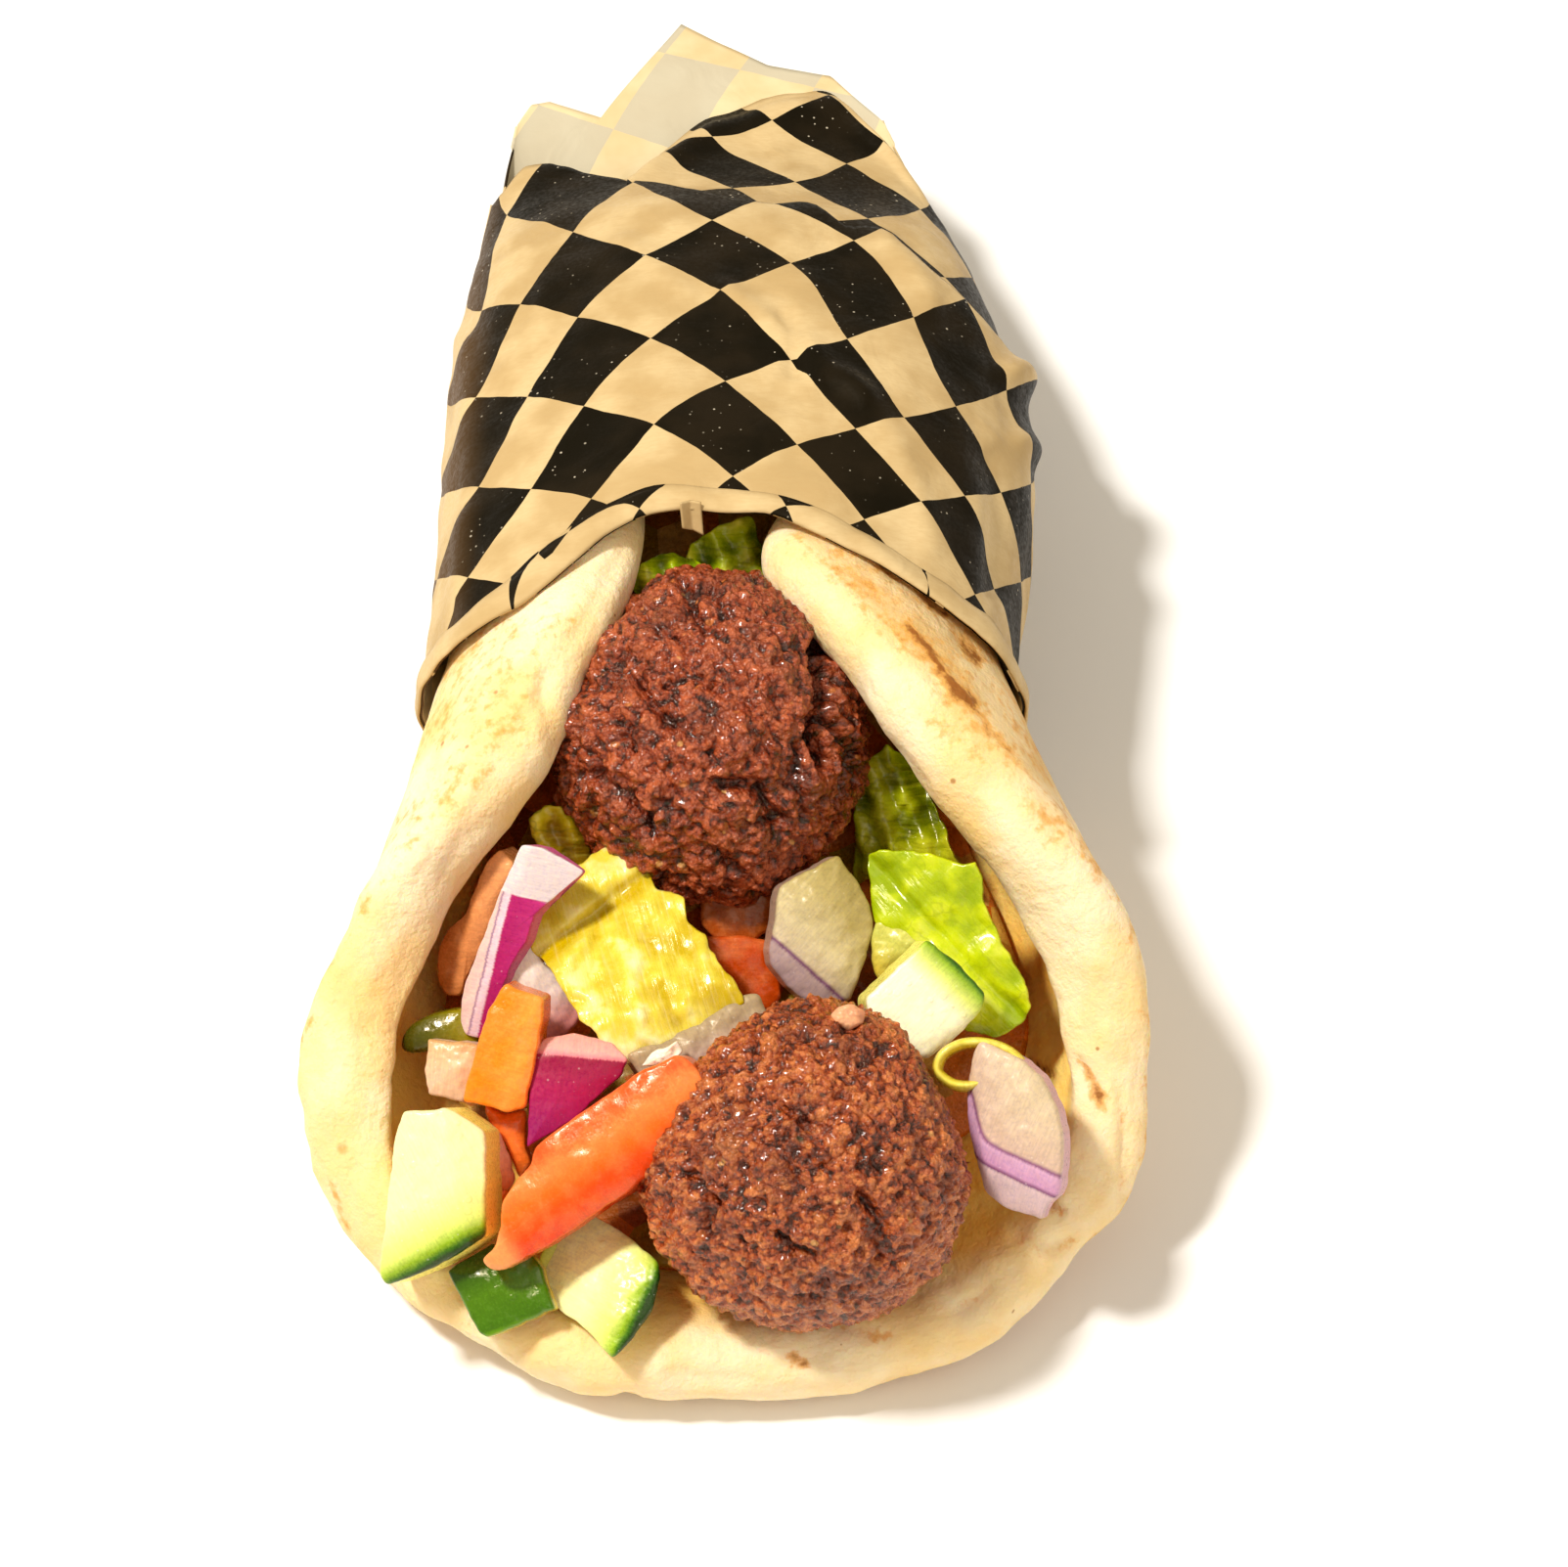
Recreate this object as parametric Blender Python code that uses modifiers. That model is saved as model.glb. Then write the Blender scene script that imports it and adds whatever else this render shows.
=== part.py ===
"""A falafel pita: a round flatbread curled lengthways round two falafels and a chopped
salad, with its back half rolled in a sheet of checked paper.

X runs across the wrap, Y from its open mouth to the paper tail, Z up. It lies on Z = 0.
Named sizes are millimetres and degrees. A station is a distance from the bread's front
lip along Y, and a fold angle is 0 at the bottom of the roll and 180 at its top."""

import bpy
import bmesh
import numpy as np
from mathutils import Euler, Matrix, Vector

MM = 0.001

# Flatbread
BREAD_RADIUS = 100.0
BREAD_THICK = 8.5
RIM_ROUND = 2.6
RIM_STEPS = 2
SHARP_EDGE = 50
BREAD_GRID = 20
LIP_Y = -124.2
GAP = 0.35

# The roll's cross-section along its length
STATION = (0, 18, 36, 54, 72, 90, 108, 130, 160, 200)
CENTRE_X = (1.0, 0.6, 0.4, 1.6, 1.2, 0.2, -0.6, 1.0, 0.8, -2.0)
HALF_WIDTH = (56.0, 56.0, 54.0, 51.5, 46.5, 40.4, 36.6, 38.8, 38.8, 30.0)
HALF_HEIGHT = (22.0, 23.0, 23.8, 24.0, 25.6, 26.6, 25.8, 24.6, 21.4, 10.5)
FLOOR = (8.0, 4.6, 3.0, 2.8, 3.0, 4.6, 5.8, 5.8, 7.2, 25.0)
FOLD_PER_MM = (0.83, 0.84, 1.14, 1.34, 1.50, 1.50, 1.62, 1.70, 1.72, 1.60)
SQUARENESS = 0.06

# Paper
PAPER_THICK = 0.9
PAPER_STATION = (90, 108, 122, 143, 165, 186, 203, 216, 228, 252)
PAPER_HALF_WIDTH = (44.8, 43.6, 44.2, 45.2, 44.7, 41.8, 37.2, 33.6, 30.5, 27.0)
PAPER_TOP = (63.2, 63.6, 63.2, 60.8, 57.2, 51.6, 41.6, 36.6, 34.6, 34.2)
PAPER_BOTTOM = (-1.0, -1.0, -1.2, -1.2, -1.2, 1.6, 15.8, 27.0, 30.8, 31.0)
PAPER_CENTRE_X = (-0.4, -0.6, 0.6, 1.4, 0.6, -1.0, -2.4, -4.2, -5.6, -6.0)
FRONT_BOTTOM_STATION = 101.0
FRONT_TOP_STATION = 115.8
FRONT_PEAK = 9
TAIL_CENTRE_X = -5.6
TAIL_HALF_WIDTH = 30.5
PAPER_AROUND = 30
PAPER_ROWS = 15
SEAM_MERGE = 0.01

# The torn-off tail: the lower sheet's corners and the upper sheet's edge, as (x, station)
LOWER_EDGE = ((-36, 226), (-32, 232), (-22, 228), (-9, 251), (7, 240), (18, 237), (25, 226))
UPPER_EDGE = ((-36, 218), (-31, 214), (-16, 211), (-13, 217), (-5, 226), (7, 231), (17, 233), (25, 226))

# The salad that fills the roll
BED_FRONT = 14.0
BED_BACK = 193.0
BED_STATION = (14, 30, 48, 66, 84, 100, 118, 150, 193)
BED_TOP = (13.5, 20.0, 28.0, 31.0, 32.0, 36.0, 46.0, 46.0, 34.0)
BED_LUMP = 2.2
BED_LUMP_SIZE = 9.0
BED_THINNEST = 2.5
BED_CLEAR = 1.1
BED_LIFT = 0.2
BED_END_SLOPE = 3.0
BED_CLOSED = -0.85
BED_SEED = 5
BED_GRID = 16

# Falafels
FALAFEL_BACK = {"centre": (-1.4, -37.9, 44.0), "radii": (22.6, 23.0, 17.5), "tilt": (38, 6), "seed": 3}
FALAFEL_FRONT = {"centre": (11.2, -100.8, 29.6), "radii": (22.8, 22.4, 19.6), "tilt": (38, 0), "seed": 8}
FALAFEL_LOWEST = 1.0
FALAFEL_DETAIL = 4
LUMP = 0.05
LUMP_SIZE = 17.0
CRAG = 1.3
CRAG_SIZE = 6.5
CRACK_DEPTH = 4.2
CRACK_HALF_WIDTH = 2.6
CRACK_X = 14.5
CRACK_HALF_LENGTH = 13.0
CRACK_WANDER = 1.6
CRACK_WANDER_SIZE = 4.0

# Cut pieces, the topmost first. Place is the middle of the face that shows, turn is in
# that face, and a lean tips the face towards the mouth and to the right. Size is length,
# width and thickness. Taper narrows the far end, skew slides it, and bow bends it down.
PIECES = (
    ("tomato_strip", "tomato", (-16.0, -104.8, 36.0), 41, (34, -8), (37, 11.5, 9), -0.05, 0.0, 1.6),
    ("lettuce_heart", "leaf", (-12.8, -75.4, 42.0), -62, (40, 2), (28, 20, 1.6), 0.0, 0.0, 3.0),
    ("cucumber_left", "cucumber", (-39.4, -106.6, 29.0), 76, (34, -14), (22, 12.8, 10), -0.05, 0.0, 0.4),
    ("lettuce_curl", "curl", (34.4, -90.4, 36.6), 8, (30, -6), (12.5, 7.6, 4.0), 0.0, 0.0, 0.0),
    ("cucumber_right", "cucumber", (27.9, -79.6, 39.0), 38, (36, 8), (12.5, 12.5, 9), 0.0, 0.0, 0.3),
    ("onion_front_right", "onion", (39.5, -98.3, 34.0), -66, (36, -18), (24, 12.5, 5), -0.12, 0.0, 2.2),
    ("lettuce_lime", "leaf", (31.0, -68.7, 35.0), -52, (42, -12), (26, 19, 1.0), 0.05, 0.0, 2.5),
    ("tomato_wedge", "tomato", (-29.8, -87.7, 38.0), 70, (40, -6), (17, 8.5, 8), -0.05, 0.0, 0.6),
    ("onion_magenta", "onion", (-20.8, -91.2, 34.5), 40, (34, 0), (15, 12.5, 4), -0.34, 0.0, 1.0),
    ("onion_strip", "onion", (-29.4, -71.6, 40.0), 66, (38, -24), (28, 7.0, 4.4), 0.14, 0.0, 1.5),
    ("pepper", "pepper", (-30.4, -114.6, 18.5), 18, (30, -10), (13.5, 11, 3), 0.0, 0.18, 1.4),
    ("cucumber_low", "cucumber", (-15.8, -116.0, 22.0), -50, (34, 6), (16, 12.5, 9), 0.08, 0.0, 0.4),
    ("onion_middle", "onion", (-0.5, -83.9, 34.0), 22, (30, 8), (21, 9, 5), 0.0, 0.0, 1.4),
    ("onion_back_right", "onion", (14.1, -67.0, 36.0), -68, (36, 10), (18.5, 13.0, 6.5), 0.1, 0.0, 2.0),
    ("cucumber_back", "cucumber", (24.0, -68.2, 33.6), -60, (34, -6), (11, 9, 7), 0.0, 0.0, 0.3),
    ("onion_pale", "onion", (-26.2, -73.8, 32.6), 40, (38, 6), (14, 11.5, 4), 0.0, 0.0, 1.2),
    ("onion_block", "onion", (-37.5, -86.0, 30.0), 0, (36, -10), (8.5, 9.5, 5), 0.0, 0.1, 0.6),
    ("gherkin", "pickle", (-40.3, -77.9, 29.0), 10, (42, -8), (10.5, 6.4, 3.4), -0.2, 0.0, 0.8),
    ("onion_low", "onion", (-31.2, -98.2, 25.6), -78, (36, 4), (12, 6.6, 4), 0.0, 0.0, 1.0),
    ("tomato_left", "tomato", (-35.6, -64.7, 33.0), 70, (44, -16), (19, 8, 6), 0.12, 0.0, 0.8),
    ("lettuce_dark", "leaf", (26.0, -43.8, 34.0), -60, (46, -14), (20, 15, 1.0), 0.0, 0.0, 2.5),
    ("lettuce_small", "leaf", (-22.6, -51.6, 37.6), 60, (42, 10), (10, 8.5, 1.0), 0.0, 0.0, 1.0),
    ("lettuce_top_left", "leaf", (-7.6, -15.4, 51.0), 24, (40, 0), (11, 8, 1.0), 0.0, 0.0, 1.2),
    ("lettuce_top_right", "leaf", (2.2, -9.6, 51.5), 38, (40, 8), (12.5, 8.5, 1.0), 0.0, 0.0, 1.2),
    ("tomato_back", "tomato", (2.0, -58.3, 29.6), 4, (34, 0), (11.5, 8.5, 6), 0.0, 0.0, 0.6),
    ("tomato_middle", "tomato", (3.4, -67.5, 27.4), -30, (36, 4), (12.5, 11, 6), 0.0, 0.0, 0.8),
    ("tomato_red_bit", "tomato", (-13.2, -99.6, 24.0), 30, (34, 0), (6, 5.5, 4.5), 0.0, 0.0, 0.3),
    ("tomato_left_bit", "tomato", (-29.2, -93.6, 26.2), -66, (38, 0), (11, 5.6, 4.5), 0.0, 0.0, 0.4),
    ("tomato_low_bit", "tomato", (-31.0, -104.4, 20.6), 70, (36, 0), (8, 5, 4), 0.0, 0.0, 0.3),
    ("onion_chip", "onion", (-8.4, -88.4, 37.6), 28, (36, 0), (5.6, 3.6, 1.8), 0.0, 0.0, 0.4),
    ("onion_chip_front", "onion", (17.2, -90.4, 49.0), 20, (20, 4), (4.6, 4.2, 2.0), 0.0, 0.0, 0.4),
)
EDGE_ROUND = {"cucumber": 0.7, "tomato": 1.1, "onion": 0.7, "pepper": 0.6, "pickle": 0.7}
EXACT_FAILS = ("salad_bed",)
ARCHED_BOW = 1.0
ARCH_CUTS = 3

# Leaves: grid, height of the waves, and how fast they turn along and across the leaf
LEAF_GRID = (6, 5)
LEAF_WAVE = 1.1
WAVE_ALONG = 0.62
WAVE_START = 1.1
WAVE_ACROSS = 0.45
RIPPLE = 0.5
RIPPLE_ACROSS = 0.9
RIPPLE_ALONG = 0.3

# The curled leaf strip: steps round the ring and the strip, and the strip's half thickness
CURL_GRID = (18, 6)
CURL_TUBE = 1.3
CURL_RING = 0.25
CURL_FLATNESS = 0.6

COLOURS = {
    "bread": (0.86, 0.70, 0.42), "paper": (0.72, 0.52, 0.27), "falafel": (0.20, 0.07, 0.03),
    "tomato": (0.80, 0.16, 0.04), "cucumber": (0.80, 0.85, 0.42), "onion": (0.75, 0.50, 0.62),
    "pepper": (0.10, 0.30, 0.02), "pickle": (0.24, 0.24, 0.03), "leaf": (0.62, 0.72, 0.10),
    "curl": (0.72, 0.70, 0.12), "bed": (0.42, 0.20, 0.05),
}
SHINE = {"bread": 0.75, "paper": 0.55, "falafel": 0.5, "bed": 0.5}
CUT_SHINE = 0.3


def smooth_row(at, stations, values):
    """Cubic curve through the values, with each slope taken from its two neighbours."""
    xs = np.asarray(stations, float)
    vs = np.asarray(values, float)
    at = np.clip(np.asarray(at, float), xs[0], xs[-1])
    slopes = np.gradient(vs, xs)
    i = np.clip(np.searchsorted(xs, at, side="right") - 1, 0, len(xs) - 2)
    h = xs[i + 1] - xs[i]
    t = (at - xs[i]) / h
    return ((2 * t**3 - 3 * t**2 + 1) * vs[i] + (t**3 - 2 * t**2 + t) * h * slopes[i]
            + (3 * t**2 - 2 * t**3) * vs[i + 1] + (t**3 - t**2) * h * slopes[i + 1])


def across(angle):
    """Sideways place on the section, -1 to 1, from the fold angle in radians."""
    return (np.sin(angle) + SQUARENESS * np.sin(3 * angle)) / (1 - SQUARENESS)


def rough(points, size, seed):
    """Smooth random value from -1 to 1 at each point, with features of the given size."""
    q = np.asarray(points, float) / size + seed * 17.13
    cell = np.floor(q)
    f = q - cell
    f = f * f * (3 - 2 * f)
    total = np.zeros(len(q))
    for corner in np.ndindex(2, 2, 2):
        c = np.array(corner)
        spot = cell + c
        mixed = np.sin(spot @ np.array((127.1, 311.7, 74.7))) * 43758.5453
        weight = np.prod(np.where(c == 1, f, 1 - f), axis=1)
        total += weight * (mixed - np.floor(mixed))
    return total * 2 - 1


def bread_point(a, station, inward=0.0):
    """Place on the curled sheet's middle from its distance off the centre line. The fold
    angle grows with that distance, and inward moves the section towards its middle."""
    angle = np.radians(smooth_row(station, STATION, FOLD_PER_MM) * a)
    half = smooth_row(station, STATION, HALF_WIDTH) - inward
    high = smooth_row(station, STATION, HALF_HEIGHT) - inward
    x = smooth_row(station, STATION, CENTRE_X) + half * across(angle)
    z = smooth_row(station, STATION, FLOOR) + inward + high * (1 - np.cos(angle))
    return np.stack((x, LIP_Y + station, np.maximum(z, BREAD_THICK / 2 + inward)), axis=1)


def paper_point(angle, along):
    """Place on the paper's outside. Along runs 0 to 1 from the front edge to the tail,
    and both ends depend on the fold angle, so the tail is cut as the photo shows."""
    lift = (1 - np.cos(angle)) / 2
    front = FRONT_BOTTOM_STATION + (FRONT_TOP_STATION - FRONT_BOTTOM_STATION) * lift**FRONT_PEAK
    tail_x = TAIL_CENTRE_X + TAIL_HALF_WIDTH * across(angle)
    lower = np.interp(tail_x, *zip(*LOWER_EDGE))
    upper = np.interp(tail_x, *zip(*UPPER_EDGE))
    station = front + (np.where(lift < 0.5, lower, upper) - front) * along
    x = smooth_row(station, PAPER_STATION, PAPER_CENTRE_X)
    x = x + smooth_row(station, PAPER_STATION, PAPER_HALF_WIDTH) * across(angle)
    bottom = smooth_row(station, PAPER_STATION, PAPER_BOTTOM)
    z = bottom + (smooth_row(station, PAPER_STATION, PAPER_TOP) - bottom) * lift
    return np.stack((x, LIP_Y + station, np.maximum(z, 0.0)), axis=1)


def get_points(mesh):
    flat = np.empty(len(mesh.vertices) * 3)
    mesh.vertices.foreach_get("co", flat)
    return flat.reshape(-1, 3)


def set_points(mesh, points):
    mesh.vertices.foreach_set("co", np.asarray(points, float).ravel())
    mesh.update()


def primitive(name, make, **sizes):
    """New mesh object from one bmesh primitive."""
    work = bmesh.new()
    make(work, **sizes)
    mesh = bpy.data.meshes.new(name)
    work.to_mesh(mesh)
    work.free()
    return bpy.data.objects.new(name, mesh)


def finish_material(obj, kind):
    mat = bpy.data.materials.get(kind) or bpy.data.materials.new(kind)
    mat.use_nodes = True
    shader = mat.node_tree.nodes["Principled BSDF"]
    shader.inputs["Base Color"].default_value = (*COLOURS[kind], 1.0)
    shader.inputs["Roughness"].default_value = SHINE.get(kind, CUT_SHINE)
    shader.inputs["Metallic"].default_value = 0.0
    obj.data.materials.clear()
    obj.data.materials.append(mat)


def add_solidify(obj, thickness, offset):
    mod = obj.modifiers.new("Thickness", "SOLIDIFY")
    mod.thickness = thickness
    mod.offset = offset


def add_bevel(obj, width):
    mod = obj.modifiers.new("Round", "BEVEL")
    mod.width = width
    mod.segments = 1
    mod.limit_method = "ANGLE"


def bake(obj):
    """Replace an object's mesh by what its modifiers make of it."""
    seen = obj.evaluated_get(bpy.context.evaluated_depsgraph_get())
    mesh = bpy.data.meshes.new_from_object(seen)
    obj.modifiers.clear()
    obj.data = mesh


def keep_largest(mesh):
    """Drop the loose scraps that a cut leaves, and keep the biggest body."""
    work = bmesh.new()
    work.from_mesh(mesh)
    work.verts.ensure_lookup_table()
    todo = set(work.verts)
    bodies = []
    while todo:
        front = [todo.pop()]
        body = set(front)
        while front:
            vert = front.pop()
            for edge in vert.link_edges:
                other = edge.other_vert(vert)
                if other in todo:
                    todo.discard(other)
                    body.add(other)
                    front.append(other)
        bodies.append(body)
    bodies.sort(key=len, reverse=True)
    scraps = [vert for body in bodies[1:] for vert in body]
    bmesh.ops.delete(work, geom=scraps, context="VERTS")
    work.to_mesh(mesh)
    work.free()


def make_bread(name, grow=0.0):
    """A disc moved on to the roll. The square grid is first rounded into a disc."""
    obj = primitive(name, bmesh.ops.create_grid, x_segments=BREAD_GRID,
                    y_segments=BREAD_GRID, size=1.0)
    flat = get_points(obj.data)
    u, v = flat[:, 0], flat[:, 1]
    radius = BREAD_RADIUS + grow
    a = radius * u * np.sqrt(1 - v * v / 2)
    b = radius * v * np.sqrt(1 - u * u / 2)
    set_points(obj.data, bread_point(a, BREAD_RADIUS + b) * MM)
    add_solidify(obj, (BREAD_THICK + 2 * grow) * MM, 0.0)
    bevel = obj.modifiers.new("Rim", "BEVEL")
    bevel.width = (RIM_ROUND - 2 * grow) * MM
    bevel.segments = RIM_STEPS
    bevel.limit_method = "ANGLE"
    bevel.angle_limit = np.radians(SHARP_EDGE)
    return obj


def make_paper(name):
    """A tube of paper: a grid of fold angle by length, joined along its top line."""
    obj = primitive(name, bmesh.ops.create_grid, x_segments=PAPER_AROUND,
                    y_segments=PAPER_ROWS, size=1.0)
    flat = get_points(obj.data)
    along = (flat[:, 1] + 1) / 2
    set_points(obj.data, paper_point(-np.pi * flat[:, 0], along) * MM)
    work = bmesh.new()
    work.from_mesh(obj.data)
    bmesh.ops.remove_doubles(work, verts=work.verts, dist=SEAM_MERGE * MM)
    work.to_mesh(obj.data)
    work.free()
    add_solidify(obj, PAPER_THICK * MM, -1.0)
    return obj


def make_falafel(name, spec, grow=0.0):
    """A flattened ball whose crust is pushed in and out, with one crack in the back one."""
    obj = primitive(name, bmesh.ops.create_icosphere,
                    subdivisions=FALAFEL_DETAIL, radius=1.0)
    way = get_points(obj.data)
    body = way * np.array(spec["radii"])
    lump = 1 + LUMP * rough(body, LUMP_SIZE, spec["seed"])
    depth = CRAG * rough(body, CRAG_SIZE, spec["seed"] + 1)
    if spec is FALAFEL_BACK:
        wander = CRACK_WANDER * np.sin(body[:, 1] / CRACK_WANDER_SIZE)
        off = (body[:, 0] - CRACK_X - wander) / CRACK_HALF_WIDTH
        reach = np.clip(1 - (body[:, 1] / CRACK_HALF_LENGTH) ** 2, 0, 1)
        depth -= CRACK_DEPTH * np.exp(-off * off) * reach * (body[:, 2] > 0)
    body = body * lump[:, None] + way * (depth + grow)[:, None]
    turn = Euler((np.radians(spec["tilt"][0]), np.radians(spec["tilt"][1]), 0)).to_matrix()
    body = body @ np.array(turn).T + np.array(spec["centre"])
    body[:, 2] = np.maximum(body[:, 2], FALAFEL_LOWEST)
    set_points(obj.data, body * MM)
    return obj


def place_matrix(place, turn, lean):
    tip = Matrix.Rotation(np.radians(lean[0]), 4, "X")
    roll = Matrix.Rotation(np.radians(lean[1]), 4, "Y")
    spin = Matrix.Rotation(np.radians(turn), 4, "Z")
    return Matrix.Translation(Vector(place)) @ tip @ roll @ spin


def shape_block(flat, size, taper, skew, bow, grow):
    """Unit cube to a cut block whose top face lies at 0."""
    length, width, thick = (value + 2 * grow for value in size)
    x = flat[:, 0] * length
    y = flat[:, 1] * width * (1 + 2 * taper * flat[:, 0])
    x = x + skew * flat[:, 1] * width
    z = (flat[:, 2] - 0.5) * thick + grow - bow * (2 * flat[:, 0]) ** 2
    return np.stack((x, y, z), axis=1)


def make_block(name, kind, size, taper, skew, bow, grow):
    obj = primitive(name, bmesh.ops.create_cube, size=1.0)
    if bow > ARCHED_BOW:
        work = bmesh.new()
        work.from_mesh(obj.data)
        long_edges = [e for e in work.edges if abs(e.verts[0].co.x - e.verts[1].co.x) > 0.5]
        bmesh.ops.subdivide_edges(work, edges=long_edges, cuts=ARCH_CUTS, use_grid_fill=True)
        work.to_mesh(obj.data)
        work.free()
    set_points(obj.data, shape_block(get_points(obj.data), size, taper, skew, bow, grow) * MM)
    add_bevel(obj, EDGE_ROUND[kind] * MM)
    return obj


def make_leaf(name, size, taper, bow, grow):
    """A thin wavy leaf, both faces split into triangles alike."""
    obj = primitive(name, bmesh.ops.create_grid, x_segments=LEAF_GRID[0],
                    y_segments=LEAF_GRID[1], size=0.5)
    flat = get_points(obj.data)
    length, width, thick = size
    x = flat[:, 0] * (length + 2 * grow)
    y = flat[:, 1] * (width + 2 * grow) * (1 + 2 * taper * flat[:, 0])
    along, side = flat[:, 0] * length, flat[:, 1] * width
    wave = np.sin(along * WAVE_ALONG + WAVE_START) * np.cos(side * WAVE_ACROSS)
    ripple = RIPPLE * np.sin(side * RIPPLE_ACROSS + along * RIPPLE_ALONG)
    z = LEAF_WAVE * (wave + ripple) - bow * (2 * flat[:, 0]) ** 2
    set_points(obj.data, np.stack((x, y, z), axis=1) * MM)
    work = bmesh.new()
    work.from_mesh(obj.data)
    bmesh.ops.triangulate(work, faces=work.faces)
    work.to_mesh(obj.data)
    work.free()
    add_solidify(obj, (thick + 3 * grow) * MM, 0.0)
    return obj


def make_curl(name, size, grow):
    """A narrow strip of leaf curled into an oval ring."""
    bpy.ops.mesh.primitive_torus_add(major_radius=1.0, minor_radius=CURL_RING,
                                     major_segments=CURL_GRID[0], minor_segments=CURL_GRID[1])
    obj = bpy.context.object
    obj.name = name
    for home in list(obj.users_collection):
        home.objects.unlink(obj)
    flat = get_points(obj.data)
    ring = np.hypot(flat[:, 0], flat[:, 1])
    tube = CURL_TUBE + grow
    way = flat[:, :2] / ring[:, None]
    off = (ring - 1) / CURL_RING * tube * CURL_FLATNESS
    x = way[:, 0] * (size[0] / 2 - CURL_TUBE + off)
    y = way[:, 1] * (size[1] / 2 - CURL_TUBE + off)
    z = flat[:, 2] / CURL_RING * (size[2] / 2 + grow)
    set_points(obj.data, np.stack((x, y, z), axis=1) * MM)
    return obj


def make_piece(name, row, grow=0.0):
    """One cut piece in its place, or a copy of it grown by a margin for cutting others."""
    _, kind, place, turn, lean, size, taper, skew, bow = row
    if kind == "leaf":
        obj = make_leaf(name, size, taper, bow, grow)
    elif kind == "curl":
        obj = make_curl(name, size, grow)
    else:
        obj = make_block(name, kind, size, taper, skew, bow, grow)
    bpy.context.scene.collection.objects.link(obj)
    bake(obj)
    matrix = place_matrix(Vector(place) * MM, turn, lean)
    obj.data.transform(matrix)
    return obj


def make_bed(name):
    """The salad core: a ball drawn out along the roll, inside the bread, up to its top."""
    obj = primitive(name, bmesh.ops.create_uvsphere, u_segments=BED_GRID,
                    v_segments=BED_GRID, radius=1.0)
    ball = get_points(obj.data)
    share = np.clip(np.arccos(np.clip(-ball[:, 2], -1, 1)) / np.pi, 0, 1)
    station = BED_FRONT + (BED_BACK - BED_FRONT) * share
    fill = np.clip(np.sin(np.pi * share) * BED_END_SLOPE, 0, 1) ** 0.5
    turn = np.arctan2(ball[:, 0], -ball[:, 1])
    inset = BREAD_THICK / 2 + BED_CLEAR
    core = bread_point(np.zeros(len(station)), station, inset)
    half = (smooth_row(station, STATION, HALF_WIDTH) - inset) * fill
    high = smooth_row(station, STATION, HALF_HEIGHT) - inset
    top = np.maximum(smooth_row(station, BED_STATION, BED_TOP), core[:, 2] + BED_THINNEST)
    brim = np.arccos(np.clip(1 - (top - core[:, 2]) / high, BED_CLOSED, 1))
    wall = np.clip(np.abs(turn) / (np.pi / 2), 0, 1)
    lid = np.clip(2 - np.abs(turn) / (np.pi / 2), 0, 1)
    angle = brim * wall * np.sign(turn)
    x = core[:, 0] + half * across(angle) * lid
    z = core[:, 2] + BED_LIFT + high * (1 - np.cos(angle))
    spot = np.stack((x, station, np.zeros(len(x))), axis=1)
    z = z + BED_LUMP * rough(spot, BED_LUMP_SIZE, BED_SEED) * np.sin(np.pi * lid) * fill
    points = np.stack((x, LIP_Y + station, z), axis=1)
    set_points(obj.data, points * MM)
    work = bmesh.new()
    work.from_mesh(obj.data)
    bmesh.ops.triangulate(work, faces=work.faces)
    if work.calc_volume(signed=True) < 0:
        bmesh.ops.reverse_faces(work, faces=work.faces)
    work.to_mesh(obj.data)
    work.free()
    return obj


def boxes_meet(one, two):
    a, b = get_points(one.data), get_points(two.data)
    return bool(np.all(a.min(0) <= b.max(0)) and np.all(b.min(0) <= a.max(0)))


def cut_by(obj, cutters):
    """Take every cutter that reaches the object away from it, and keep the main body."""
    solver = "MANIFOLD" if obj.name in EXACT_FAILS else "EXACT"
    near = [cutter for cutter in cutters if boxes_meet(obj, cutter)]
    if not near:
        return
    for cutter in near:
        mod = obj.modifiers.new(cutter.name, "BOOLEAN")
        mod.operation = "DIFFERENCE"
        mod.object = cutter
        mod.solver = solver
    bake(obj)
    keep_largest(obj.data)


def link(obj, home):
    for old in list(obj.users_collection):
        old.objects.unlink(obj)
    home.objects.link(obj)


def add_cutter(obj, cutters, home):
    link(obj, home)
    obj.hide_render = True
    obj.display_type = "WIRE"
    cutters.append(obj)


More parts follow.
